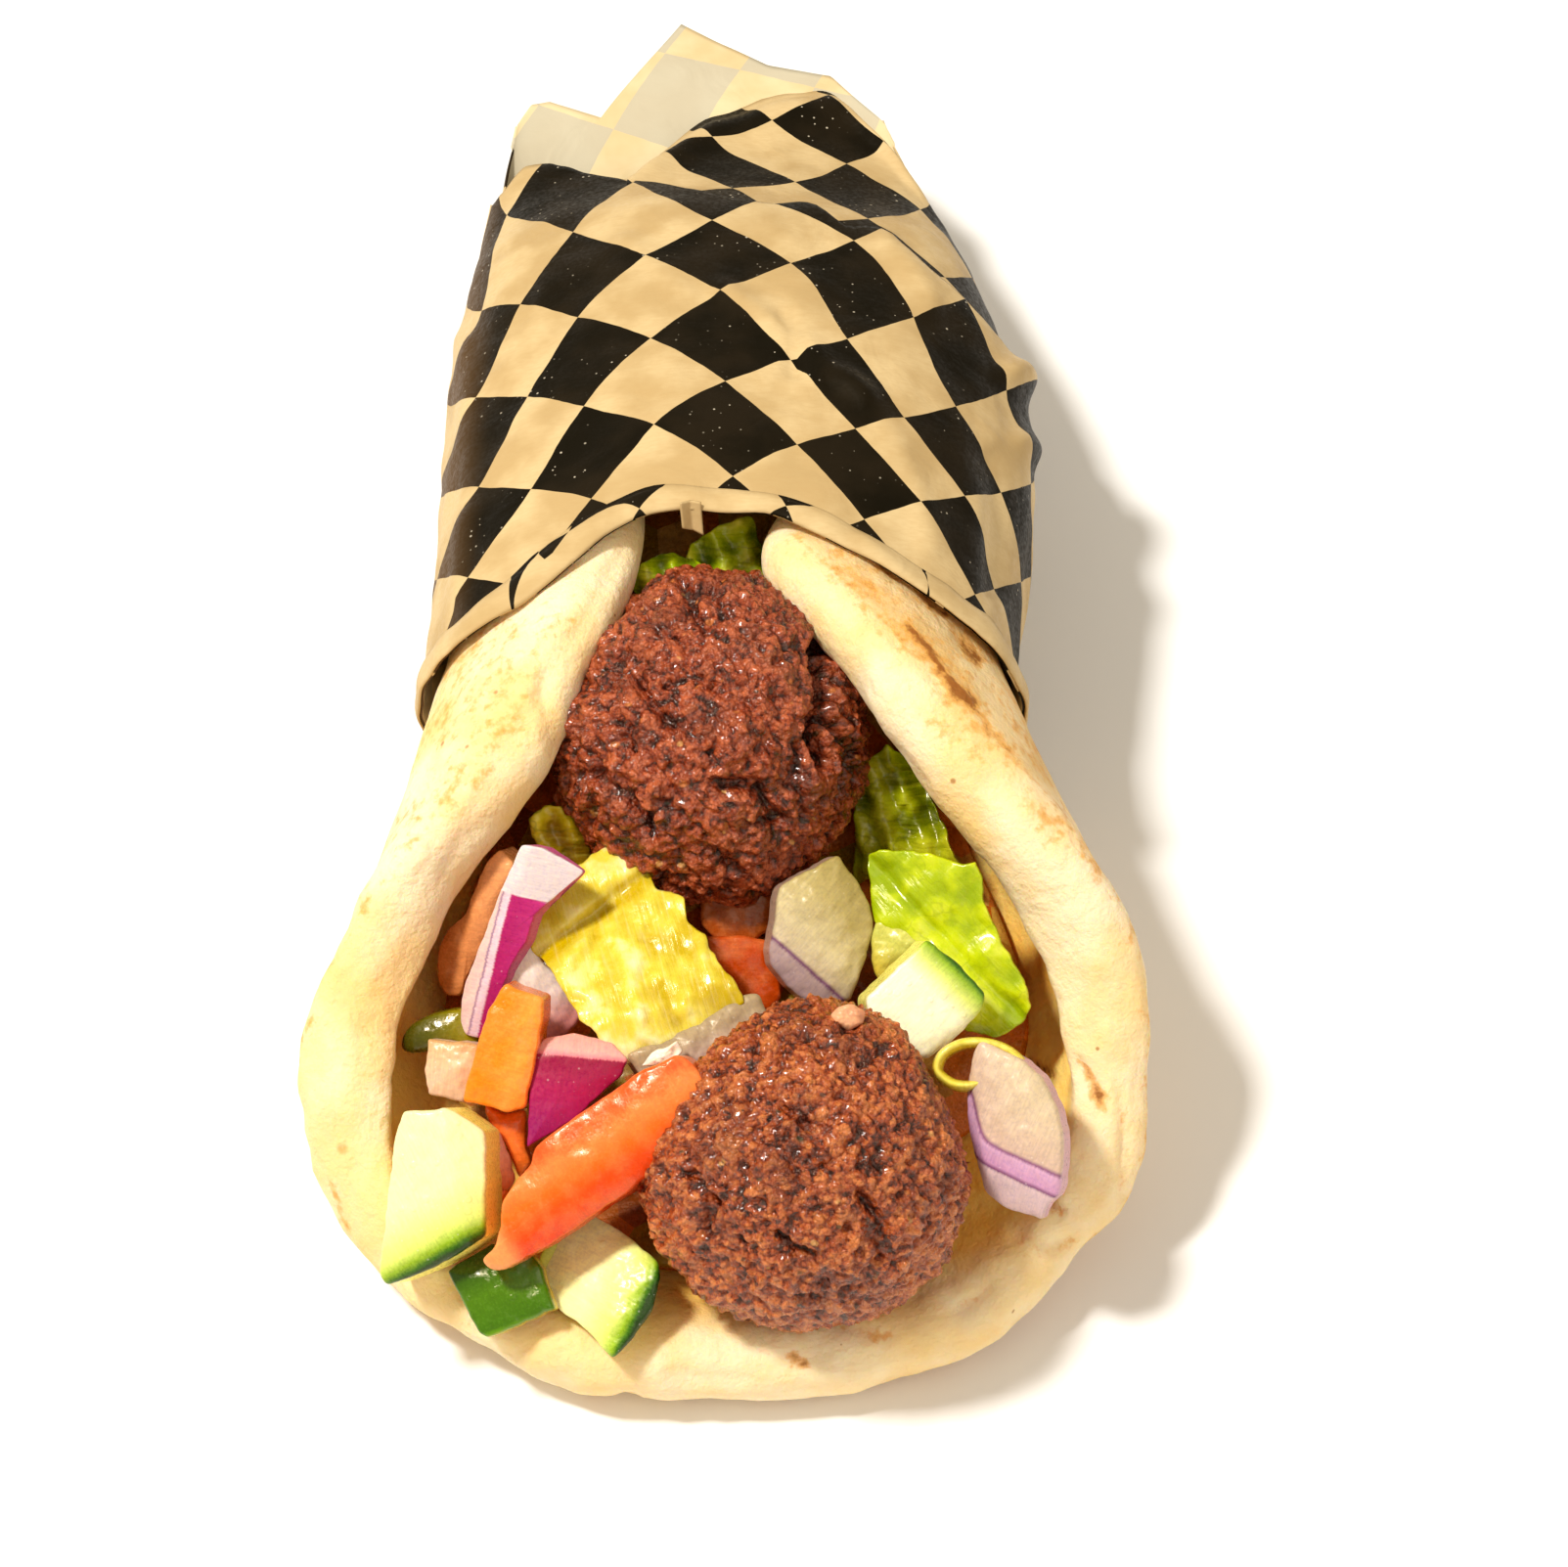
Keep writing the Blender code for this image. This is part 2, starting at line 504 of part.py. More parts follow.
def main():
    for old in list(bpy.data.objects):
        bpy.data.objects.remove(old, do_unlink=True)
    scene = bpy.context.scene
    wrap = bpy.data.collections.new("falafel_pita")
    tools = bpy.data.collections.new("cutters")
    scene.collection.children.link(wrap)
    scene.collection.children.link(tools)
    cutters = []

    bread = make_bread("bread")
    link(bread, wrap)
    finish_material(bread, "bread")
    grown = make_bread("cut_bread", GAP)
    add_cutter(grown, cutters, tools)
    bake(grown)

    paper = make_paper("wrapper")
    link(paper, wrap)
    finish_material(paper, "paper")

    for name, spec in (("falafel_back", FALAFEL_BACK), ("falafel_front", FALAFEL_FRONT)):
        ball = make_falafel(name, spec)
        link(ball, wrap)
        cut_by(ball, cutters)
        finish_material(ball, "falafel")
        ball.data.shade_smooth()
        add_cutter(make_falafel("cut_" + name, spec, GAP), cutters, tools)

    for row in PIECES:
        piece = make_piece(row[0], row)
        link(piece, wrap)
        cut_by(piece, cutters)
        finish_material(piece, row[1])
        add_cutter(make_piece("cut_" + row[0], row, GAP), cutters, tools)

    bed = make_bed("salad_bed")
    link(bed, wrap)
    cut_by(bed, cutters[1:])
    finish_material(bed, "bed")

    for cutter in cutters:
        bpy.data.objects.remove(cutter, do_unlink=True)


main()
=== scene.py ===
"""Looks of the falafel pita: a puffed flatbread curled round two falafels and a chopped
salad, its back half rolled in checked paper.

Lengths here are millimetres until a mesh is made. X runs across the wrap, Y from its open
mouth to the paper tail, Z up. A station is a distance from the bread's front lip along Y."""
import bpy
import numpy as np
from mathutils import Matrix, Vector


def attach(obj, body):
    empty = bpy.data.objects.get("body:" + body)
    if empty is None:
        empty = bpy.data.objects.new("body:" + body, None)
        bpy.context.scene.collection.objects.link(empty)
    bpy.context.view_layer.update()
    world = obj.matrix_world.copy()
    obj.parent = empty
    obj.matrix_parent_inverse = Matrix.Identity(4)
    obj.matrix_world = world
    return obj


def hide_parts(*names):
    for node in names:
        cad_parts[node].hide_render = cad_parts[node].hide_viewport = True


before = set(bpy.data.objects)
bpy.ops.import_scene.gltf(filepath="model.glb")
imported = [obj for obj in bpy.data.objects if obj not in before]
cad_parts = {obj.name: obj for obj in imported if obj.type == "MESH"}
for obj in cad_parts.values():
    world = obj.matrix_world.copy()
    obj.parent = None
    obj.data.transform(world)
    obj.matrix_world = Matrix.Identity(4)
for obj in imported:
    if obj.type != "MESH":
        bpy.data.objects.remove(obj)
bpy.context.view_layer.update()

MM = 0.001

# The photograph's camera
PHOTO_WIDE, PHOTO_HIGH = 1603, 1602
LOOK_DOWN = np.radians(52.0)
CAMERA_FAR = 600.0
CAMERA_ANGLE = np.radians(21.6)
TARGET = np.array((8.5, -35.5, 30.0))
FORWARD = np.array((0.0, np.cos(LOOK_DOWN), -np.sin(LOOK_DOWN)))
RIGHT = np.array((1.0, 0.0, 0.0))
UPWARD = np.array((0.0, np.sin(LOOK_DOWN), np.cos(LOOK_DOWN)))
EYE = TARGET - CAMERA_FAR * FORWARD
PIXELS = (PHOTO_HIGH / 2) / np.tan(CAMERA_ANGLE / 2)

# Sizes, as in the solids
BREAD_RADIUS = 100.0
BREAD_THICK = 8.5
LIP_Y = -124.2
STATION = (0, 18, 36, 54, 72, 90, 108, 130, 160, 200)
CENTRE_X = (1.0, 0.6, 0.4, 1.6, 1.2, 0.2, -0.6, 1.0, 0.8, -2.0)
HALF_WIDTH = (56.0, 56.0, 54.0, 51.5, 46.5, 40.4, 36.6, 38.8, 38.8, 30.0)
HALF_HEIGHT = (22.0, 23.0, 23.8, 24.0, 25.6, 26.6, 25.8, 24.6, 21.4, 10.5)
FLOOR = (8.0, 4.6, 3.0, 2.8, 3.0, 4.6, 5.8, 5.8, 7.2, 25.0)
FOLD_PER_MM = (0.83, 0.84, 1.14, 1.34, 1.50, 1.50, 1.62, 1.70, 1.72, 1.60)
SQUARENESS = 0.06
PAPER_STATION = (90, 108, 122, 143, 165, 186, 203, 216, 228, 252)
PAPER_HALF_WIDTH = (44.8, 43.6, 44.2, 45.2, 44.7, 41.8, 37.2, 33.6, 30.5, 27.0)
PAPER_TOP = (63.2, 63.6, 63.2, 60.8, 57.2, 51.6, 41.6, 36.6, 34.6, 34.2)
PAPER_BOTTOM = (-1.0, -1.0, -1.2, -1.2, -1.2, 1.6, 15.8, 27.0, 30.8, 31.0)
PAPER_CENTRE_X = (-0.4, -0.6, 0.6, 1.4, 0.6, -1.0, -2.4, -4.2, -5.6, -6.0)
TAIL_CENTRE_X = -5.6
TAIL_HALF_WIDTH = 30.5
LOWER_EDGE = (
    (-36, 225), (-34, 230), (-31, 231), (-22, 228), (-9, 251), (7, 240), (18, 237), (25, 226))
BED_FRONT, BED_BACK = 14.0, 193.0
BED_STATION = (14, 30, 48, 66, 84, 100, 118, 150, 193)
BED_TOP = (11.0, 15.0, 22.0, 25.0, 26.5, 31.0, 40.0, 44.0, 34.0)


# Shape functions
def smooth_row(at, stations, values):
    """Cubic curve through the values, with each slope taken from its two neighbours."""
    xs = np.asarray(stations, float)
    vs = np.asarray(values, float)
    at = np.clip(np.asarray(at, float), xs[0], xs[-1])
    slopes = np.gradient(vs, xs)
    i = np.clip(np.searchsorted(xs, at, side="right") - 1, 0, len(xs) - 2)
    h = xs[i + 1] - xs[i]
    t = (at - xs[i]) / h
    return ((2 * t**3 - 3 * t**2 + 1) * vs[i] + (t**3 - 2 * t**2 + t) * h * slopes[i]
            + (3 * t**2 - 2 * t**3) * vs[i + 1] + (t**3 - t**2) * h * slopes[i + 1])


def across(angle):
    """Sideways place on the roll's section, -1 to 1, from the fold angle in radians: its
    sine, with a little of the triple angle's sine to square the section."""
    return (np.sin(angle) + SQUARENESS * np.sin(3 * angle)) / (1 - SQUARENESS)


def step(value, low, high):
    """0 below low, 1 above high, and a smooth S between them. High may be under low."""
    t = np.clip((value - low) / (high - low), 0, 1)
    return t * t * (3 - 2 * t)


def with_third(flat, value):
    """Flat places with one more part, the same everywhere, which picks their own noise."""
    return np.concatenate((flat, np.full(flat.shape[:-1] + (1,), float(value))), axis=-1)


# Turned axes, so that grid noise shows no rows along X, Y or Z
SKEW = np.array(((0.36, 0.48, -0.8), (-0.8, 0.6, 0.0), (0.48, 0.64, 0.6)))


def dot(vectors, way):
    """How far each vector reaches along a direction."""
    return np.asarray(vectors) @ np.asarray(way)


def corner_hash(spot):
    """Random value from 0 to 1 for a grid corner: the fraction of a large sine."""
    mixed = np.sin(spot @ np.array((127.1, 311.7, 74.7))) * 43758.5453
    return mixed - np.floor(mixed)


def rough(points, size, seed):
    """Smooth random value from -1 to 1 at each point, with features of the given size:
    random corner values of a cubic grid, eased between the corners."""
    q = np.asarray(points, float) @ SKEW / size + seed * 17.13
    cell = np.floor(q)
    f = q - cell
    f = f * f * (3 - 2 * f)
    total = np.zeros(q.shape[:-1])
    for corner in np.ndindex(2, 2, 2):
        c = np.array(corner)
        total += np.prod(np.where(c == 1, f, 1 - f), axis=-1) * corner_hash(cell + c)
    return total * 2 - 1


def rough_sum(points, size, seed, layers=3):
    """Rough values summed over ever finer sizes, each layer half as big and half as tall."""
    return sum(rough(points, size / 2**k, seed + k) / 2**k for k in range(layers))


def crumbs(points, size, seed):
    """Heap of round crumbs: 1 at a crumb's middle, falling to 0 between two crumbs. Each
    cell of a turned grid holds one crumb at a random place, and the nearest one counts."""
    q = np.asarray(points, float) @ SKEW / size + seed * 9.7
    cell = np.floor(q)
    nearest = np.full(q.shape[:-1], 9.0)
    for corner in np.ndindex(3, 3, 3):
        home = cell + np.array(corner) - 1
        spot = np.stack([corner_hash(home + shift) for shift in (0.0, 31.7, 57.3)], axis=-1)
        nearest = np.minimum(nearest, np.sum((home + spot - q) ** 2, axis=-1))
    return np.clip(1 - nearest / 0.75, 0, 1)


def near_line(x, y, line):
    """Distance from each place to a line of straight pieces."""
    best = np.full(np.shape(x), 1e9)
    for (x0, y0), (x1, y1) in zip(line[:-1], line[1:]):
        long = max((x1 - x0) ** 2 + (y1 - y0) ** 2, 1e-9)
        t = np.clip(((x - x0) * (x1 - x0) + (y - y0) * (y1 - y0)) / long, 0, 1)
        best = np.minimum(best, np.hypot(x - x0 - t * (x1 - x0), y - y0 - t * (y1 - y0)))
    return best


def bread_point(a, station, inward=0.0):
    """Place on the curled sheet's middle. The fold angle grows with the distance a off
    the centre line, and inward moves the section towards its middle."""
    angle = np.radians(smooth_row(station, STATION, FOLD_PER_MM) * a)
    half = smooth_row(station, STATION, HALF_WIDTH) - inward
    high = smooth_row(station, STATION, HALF_HEIGHT) - inward
    x = smooth_row(station, STATION, CENTRE_X) + half * across(angle)
    z = smooth_row(station, STATION, FLOOR) + inward + high * (1 - np.cos(angle))
    return np.stack((x, LIP_Y + station, np.maximum(z, BREAD_THICK / 2 + inward)), axis=-1)


def paper_tube(turn, station):
    """Place on the paper's outside at a turn from its top line, right of it above 0."""
    angle = np.pi - turn
    lift = (1 - np.cos(angle)) / 2
    x = smooth_row(station, PAPER_STATION, PAPER_CENTRE_X)
    x = x + smooth_row(station, PAPER_STATION, PAPER_HALF_WIDTH) * across(angle)
    bottom = smooth_row(station, PAPER_STATION, PAPER_BOTTOM)
    z = bottom + (smooth_row(station, PAPER_STATION, PAPER_TOP) - bottom) * lift
    return np.stack((x, LIP_Y + station, np.maximum(z, 0.0)), axis=-1)


def tail_edge(turn, edge):
    """Station of a tail edge given as (x, station) corners."""
    x = TAIL_CENTRE_X + TAIL_HALF_WIDTH * across(np.pi - turn)
    return np.interp(x, *zip(*edge))


def normal_of(surface, u, v, du, dv):
    """Unit normal of a two-parameter surface, from small steps along both parameters."""
    along_u = surface(u + du, v) - surface(u - du, v)
    along_v = surface(u, v + dv) - surface(u, v - dv)
    out = np.cross(along_u, along_v)
    return out / np.maximum(np.linalg.norm(out, axis=-1, keepdims=True), 1e-9)


def photo_ray(px, py):
    """Direction from the camera through a pixel of the photograph."""
    px, py = np.asarray(px, float), np.asarray(py, float)
    return (FORWARD + RIGHT * ((px - PHOTO_WIDE / 2) / PIXELS)[..., None]
            + UPWARD * ((PHOTO_HIGH / 2 - py) / PIXELS)[..., None])


def photo_spot(point):
    """Pixel of the photograph that shows a point."""
    q = np.asarray(point, float) - EYE
    depth = dot(q, FORWARD)
    return (PHOTO_WIDE / 2 + PIXELS * dot(q, RIGHT) / depth,
            PHOTO_HIGH / 2 - PIXELS * dot(q, UPWARD) / depth)


# Meshes
def grid_quads(rows, columns, closed):
    """Corner numbers of a grid's quads. A closed grid joins its last column to its first."""
    r, c = np.meshgrid(np.arange(rows - 1), np.arange(columns - (not closed)), indexing="ij")
    n = (c + 1) % columns
    return np.stack((r * columns + c, r * columns + n, (r + 1) * columns + n,
                     (r + 1) * columns + c), axis=-1).reshape(-1, 4)


def build_mesh(name, points, quads, fans=None, marks=None, uv=None):
    """Mesh object from points in millimetres, with named point values (floats or vectors)
    and a UV map given point by point."""
    fans = np.zeros((0, 3), int) if fans is None else fans
    mesh = bpy.data.meshes.new(name)
    mesh.vertices.add(len(points))
    mesh.vertices.foreach_set("co", (np.asarray(points, float) * MM).ravel())
    corners = np.concatenate((quads.ravel(), fans.ravel())).astype(np.int32)
    sizes = np.concatenate((np.full(len(quads), 4), np.full(len(fans), 3))).astype(np.int32)
    starts = np.concatenate(((0,), np.cumsum(sizes)[:-1])).astype(np.int32)
    mesh.loops.add(len(corners))
    mesh.loops.foreach_set("vertex_index", corners)
    mesh.polygons.add(len(sizes))
    mesh.polygons.foreach_set("loop_start", starts)
    mesh.polygons.foreach_set("use_smooth", np.ones(len(sizes), bool))
    for key, value in (marks or {}).items():
        value = np.asarray(value, float)
        wide = value.ndim == 2
        layer = mesh.attributes.new(key, "FLOAT_VECTOR" if wide else "FLOAT", "POINT")
        layer.data.foreach_set("vector" if wide else "value", value.ravel())
    if uv is not None:
        layer = mesh.uv_layers.new(name="sheet")
        layer.data.foreach_set("uv", np.asarray(uv, float)[corners].ravel())
    mesh.update()
    mesh.validate()
    obj = bpy.data.objects.new(name, mesh)
    bpy.context.scene.collection.objects.link(obj)
    return obj


def closed_rings(name, rings, first, last, marks=None, ends=None):
    """Closed body from rings of points, each joined to the next, with a point at each end.
    Marks are given ring by ring, and ends holds their values at the two end points."""
    count, around = rings.shape[:2]
    points = np.concatenate((rings.reshape(-1, 3), (first, last)))
    quads = grid_quads(count, around, True)
    i = np.arange(around)
    n = (i + 1) % around
    head, foot, base = count * around, count * around + 1, (count - 1) * around
    fans = np.concatenate((np.stack((np.full(around, head), n, i), axis=1),
                           np.stack((base + i, base + n, np.full(around, foot)), axis=1)))
    flat = {}
    for key, value in (marks or {}).items():
        value = np.asarray(value, float)
        tail = np.asarray(ends[key], float)
        shape = (-1, value.shape[2]) if value.ndim == 3 else (-1,)
        flat[key] = np.concatenate((value.reshape(shape), tail))
    body = np.einsum("ij,ij->i", points[quads[:, 0]], np.cross(points[quads[:, 1]], points[quads[:, 2]]))
    if body.sum() < 0:
        quads, fans = quads[:, ::-1], fans[:, ::-1]
    return build_mesh(name, points, quads, fans, flat)


def finish_piece(obj, material, slot, *nodes):
    """Give a piece its material and its body, and hide the solids that it stands for."""
    materials = material if isinstance(material, (list, tuple)) else [material]
    for one in materials:
        obj.data.materials.append(one)
    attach(obj, "root")
    if nodes:
        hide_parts(*nodes)
    return obj


# Shader helpers
def tone(red, green, blue):
    """Screen colour, 0 to 255, as the linear colour that a shader takes."""
    c = np.array((red, green, blue)) / 255.0
    c = np.where(c <= 0.04045, c / 12.92, ((c + 0.055) / 1.055) ** 2.4)
    return (*c.tolist(), 1.0)


def join(tree, value, socket):
    """Link an output to a socket, or set the socket to a plain value."""
    if isinstance(value, bpy.types.NodeSocket):
        tree.links.new(value, socket)
    else:
        socket.default_value = value


def put(tree, kind, inputs=(), **settings):
    """New shader node with its settings, and its inputs by name or number."""
    node = tree.nodes.new("ShaderNode" + kind)
    for key, value in settings.items():
        setattr(node, key, value)
    for key, value in dict(inputs).items():
        join(tree, value, node.inputs[key])
    return node


def calc(tree, operation, *values, clamp=False):
    """Result of an arithmetic node."""
    node = put(tree, "Math", operation=operation, use_clamp=clamp)
    for socket, value in zip(node.inputs, values):
        join(tree, value, socket)
    return node.outputs[0]


def times(tree, one, two):
    """One value times another."""
    return calc(tree, "MULTIPLY", one, two)


def plus(tree, one, two):
    """Sum of two values."""
    return calc(tree, "ADD", one, two)


def minus(tree, one, two):
    """One value less another."""
    return calc(tree, "SUBTRACT", one, two)


def swing(tree, value, middle, amount):
    """How far a value lies above its middle, times an amount."""
    return times(tree, minus(tree, value, middle), amount)


def scaled(tree, vector, factors):
    """Vector with each of its parts times a factor."""
    return put(tree, "VectorMath", {0: vector, 1: factors}, operation="MULTIPLY").outputs["Vector"]


def mixed(tree, share, one, two, way="MIX"):
    """Colour one where share is 0 and two where it is 1."""
    node = put(tree, "Mix", data_type="RGBA", blend_type=way)
    for number, value in ((0, share), (6, one), (7, two)):
        join(tree, value, node.inputs[number])
    return node.outputs[2]


def between(tree, value, low, high, to_low=0.0, to_high=1.0):
    """Value eased from to_low at low to to_high at high."""
    node = put(tree, "MapRange", {"Value": value, "From Min": low, "From Max": high,
                                  "To Min": to_low, "To Max": to_high}, interpolation_type="SMOOTHSTEP")
    return node.outputs["Result"]


def ramp(tree, value, stops):
    """Colour ramp through (place, colour) stops, with places from 0 to 1."""
    node = put(tree, "ValToRGB", {"Fac": value})
    band = node.color_ramp
    while len(band.elements) < len(stops):
        band.elements.new(0.5)
    for element, (place, colour) in zip(band.elements, stops):
        element.position = place
        element.color = colour
    return node.outputs["Color"]


def noise(tree, vector, size, detail=3.0, roughness=0.55, twist=0.0):
    """Noise from 0 to 1 with features of the given size in the vector's own unit."""
    node = put(tree, "TexNoise", {"Vector": vector, "Scale": 1.0 / size, "Detail": detail,
                                  "Roughness": roughness, "Distortion": twist})
    return node.outputs["Fac"]


def bumped(tree, height, distance, strength=1.0, under=None):
    """Normal of a surface pressed in and out by a height, distance in millimetres."""
    node = put(tree, "Bump", {"Height": height, "Distance": distance * MM, "Strength": strength})
    if under is not None:
        join(tree, under, node.inputs["Normal"])
    return node.outputs["Normal"]


def object_place(tree):
    """Place on the object in millimetres."""
    per_metre = 1 / MM
    return scaled(tree, put(tree, "TexCoord").outputs["Object"], (per_metre, per_metre, per_metre))


def mark(tree, name, vector=False):
    """A point value that the mesh carries."""
    node = put(tree, "Attribute", attribute_name=name)
    return node.outputs["Vector" if vector else "Fac"]


def parts(tree, vector):
    """The three parts of a vector."""
    return put(tree, "SeparateXYZ", {"Vector": vector}).outputs


def new_group(name, ins, outs):
    """Empty shader group with (socket name, start value) inputs and named float outputs."""
    tree = bpy.data.node_groups.new(name, "ShaderNodeTree")
    for key, value in ins:
        wide = isinstance(value, tuple)
        socket = tree.interface.new_socket(name=key, in_out="INPUT",
                                           socket_type="NodeSocketVector" if wide else "NodeSocketFloat")
        socket.default_value = value
    for key in outs:
        tree.interface.new_socket(name=key, in_out="OUTPUT", socket_type="NodeSocketFloat")
    return tree, tree.nodes.new("NodeGroupInput"), tree.nodes.new("NodeGroupOutput")


def cells(tree, place, scale):
    """Random cells: distance from the cell's middle, and the parts of its random colour."""
    cell = put(tree, "TexVoronoi", {"Vector": place, "Scale": scale})
    return cell.outputs["Distance"], put(tree, "SeparateColor", {"Color": cell.outputs["Color"]}).outputs


def use_group(tree, name, inputs):
    """Outputs of a shared group placed in a tree with its own inputs."""
    node = tree.nodes.new("ShaderNodeGroup")
    node.node_tree = bpy.data.node_groups[name]
    for key, value in inputs.items():
        join(tree, value, node.inputs[key])
    return node.outputs


def make_groups():
    """The two effects that most finishes share. Grain gives soft blotches, fine mottling
    and a height. Flecks gives scattered specks and a random shade for each of them."""
    tree, source, sink = new_group("grain", (("Place", (0.0, 0.0, 0.0)), ("Blotch size", 6.0),
                                             ("Fine size", 0.8)), ("Blotch", "Fine", "Height"))
    place = source.outputs["Place"]
    wide = put(tree, "TexNoise", {"Vector": place, "Detail": 3.0,
                                  "Scale": calc(tree, "DIVIDE", 1.0, source.outputs["Blotch size"])})
    fine = put(tree, "TexNoise", {"Vector": place, "Detail": 4.0, "Roughness": 0.6,
                                  "Scale": calc(tree, "DIVIDE", 1.0, source.outputs["Fine size"])})
    join(tree, between(tree, wide.outputs["Fac"], 0.35, 0.65), sink.inputs["Blotch"])
    join(tree, between(tree, fine.outputs["Fac"], 0.3, 0.7), sink.inputs["Fine"])
    height = plus(tree, wide.outputs["Fac"], times(tree, fine.outputs["Fac"], 0.5))
    join(tree, height, sink.inputs["Height"])

    tree, source, sink = new_group("flecks", (("Place", (0.0, 0.0, 0.0)), ("Spacing", 3.0),
                                              ("Share", 0.2), ("Radius", 0.3)), ("Mask", "Shade"))
    away, shade = cells(tree, source.outputs["Place"], calc(tree, "DIVIDE", 1.0, source.outputs["Spacing"]))
    chosen = calc(tree, "LESS_THAN", shade[0], source.outputs["Share"])
    reach = times(tree, source.outputs["Radius"], plus(tree, shade[1], 0.4))
    edge = between(tree, away, reach, times(tree, reach, 0.5))
    join(tree, times(tree, chosen, edge), sink.inputs["Mask"])
    join(tree, shade[2], sink.inputs["Shade"])


def new_look(name, roughness, soften=0.0, radius=(1.0, 0.5, 0.25), coat=0.0, shine=0.5, deep=2.0,
             glint=(1.0, 0.86, 0.66)):
    """Empty material. Soften is how much light passes under the surface."""
    mat = bpy.data.materials.new(name)
    mat.use_nodes = True
    tree = mat.node_tree
    shader = tree.nodes["Principled BSDF"]
    shader.inputs["Roughness"].default_value = roughness
    shader.inputs["Subsurface Weight"].default_value = soften
    shader.inputs["Subsurface Radius"].default_value = radius
    shader.inputs["Subsurface Scale"].default_value = deep * MM
    shader.inputs["Coat Weight"].default_value = coat
    shader.inputs["Coat Roughness"].default_value = 0.12
    shader.inputs["Specular IOR Level"].default_value = shine
    shader.inputs["Specular Tint"].default_value = (*glint, 1.0)
    shader.inputs["Coat Tint"].default_value = (*glint, 1.0)
    return mat, tree, shader


# Finishes
def bread_look():
    """Baked flatbread: cream, orange painted shade inside, tan flank of toast and painted shade, toasted
    rims, specks.
    """
    mat, tree, shader = new_look("baked flatbread", 0.66, 0.35, (1.0, 0.5, 0.14), shine=0.2, deep=4.0)
    place = object_place(tree)
    grain = use_group(tree, "grain", {"Place": place, "Blotch size": 14.0, "Fine size": 1.1})
    toast, inside, flank = parts(tree, mark(tree, "bake", True))
    cream = mixed(tree, grain["Blotch"], tone(252, 231, 194), tone(247, 214, 154))
    cream = mixed(tree, times(tree, grain["Fine"], 0.2), cream, tone(246, 216, 146))
    golden = noise(tree, place, 24.0, 3.0, 0.6)
    cream = mixed(tree, between(tree, golden, 0.46, 0.68, 0.0, 0.6), cream, tone(240, 200, 118))
    # Orange painted shade for the inner face and the lip under the front falafel.
    warm = mixed(tree, grain["Blotch"], tone(255, 212, 106), tone(255, 180, 58))
    colour = mixed(tree, times(tree, inside, 0.9), cream, warm)
    # Tan for the outer flank: toasted skin, with painted shade on the right flank turned from the light.
    tan = mixed(tree, grain["Blotch"], tone(238, 208, 152), tone(218, 178, 114))
    colour = mixed(tree, times(tree, flank, 0.85), colour, tan)
    blister = noise(tree, place, 7.0, 4.0, 0.65, 0.6)
    freckle = noise(tree, place, 1.7, 3.0, 0.6)
    shake = swing(tree, blister, 0.5, 1.5)
    shake = plus(tree, shake, swing(tree, freckle, 0.5, 1.4))
    shift = plus(tree, toast, shake)
    colour = mixed(tree, between(tree, shift, 0.3, 0.75, 0.0, 0.75), colour, tone(226, 160, 70))
    colour = mixed(tree, between(tree, shift, 0.65, 1.15, 0.0, 0.85), colour, tone(138, 76, 26))
    spots = use_group(tree, "flecks", {"Place": place, "Spacing": 4.0, "Share": 0.14, "Radius": 0.11})
    colour = mixed(tree, times(tree, spots["Mask"], 0.7), colour, tone(158, 98, 34))
    burnt = use_group(tree, "flecks", {"Place": place, "Spacing": 11.0, "Share": 0.3, "Radius": 0.13})
    burnt = times(tree, burnt["Mask"], between(tree, blister, 0.4, 0.58))
    colour = mixed(tree, times(tree, burnt, 0.65), colour, tone(212, 142, 60))
    join(tree, colour, shader.inputs["Base Color"])
    join(tree, between(tree, grain["Fine"], 0, 1, 0.56, 0.76), shader.inputs["Roughness"])
    pores = noise(tree, place, 0.5, 2.0)
    skin = bumped(tree, grain["Height"], 0.8, 0.6)
    skin = bumped(tree, noise(tree, place, 2.6, 3.0, 0.6), 0.7, 0.7, skin)
    join(tree, bumped(tree, pores, 0.15, 0.6, skin), shader.inputs["Normal"])
    return mat


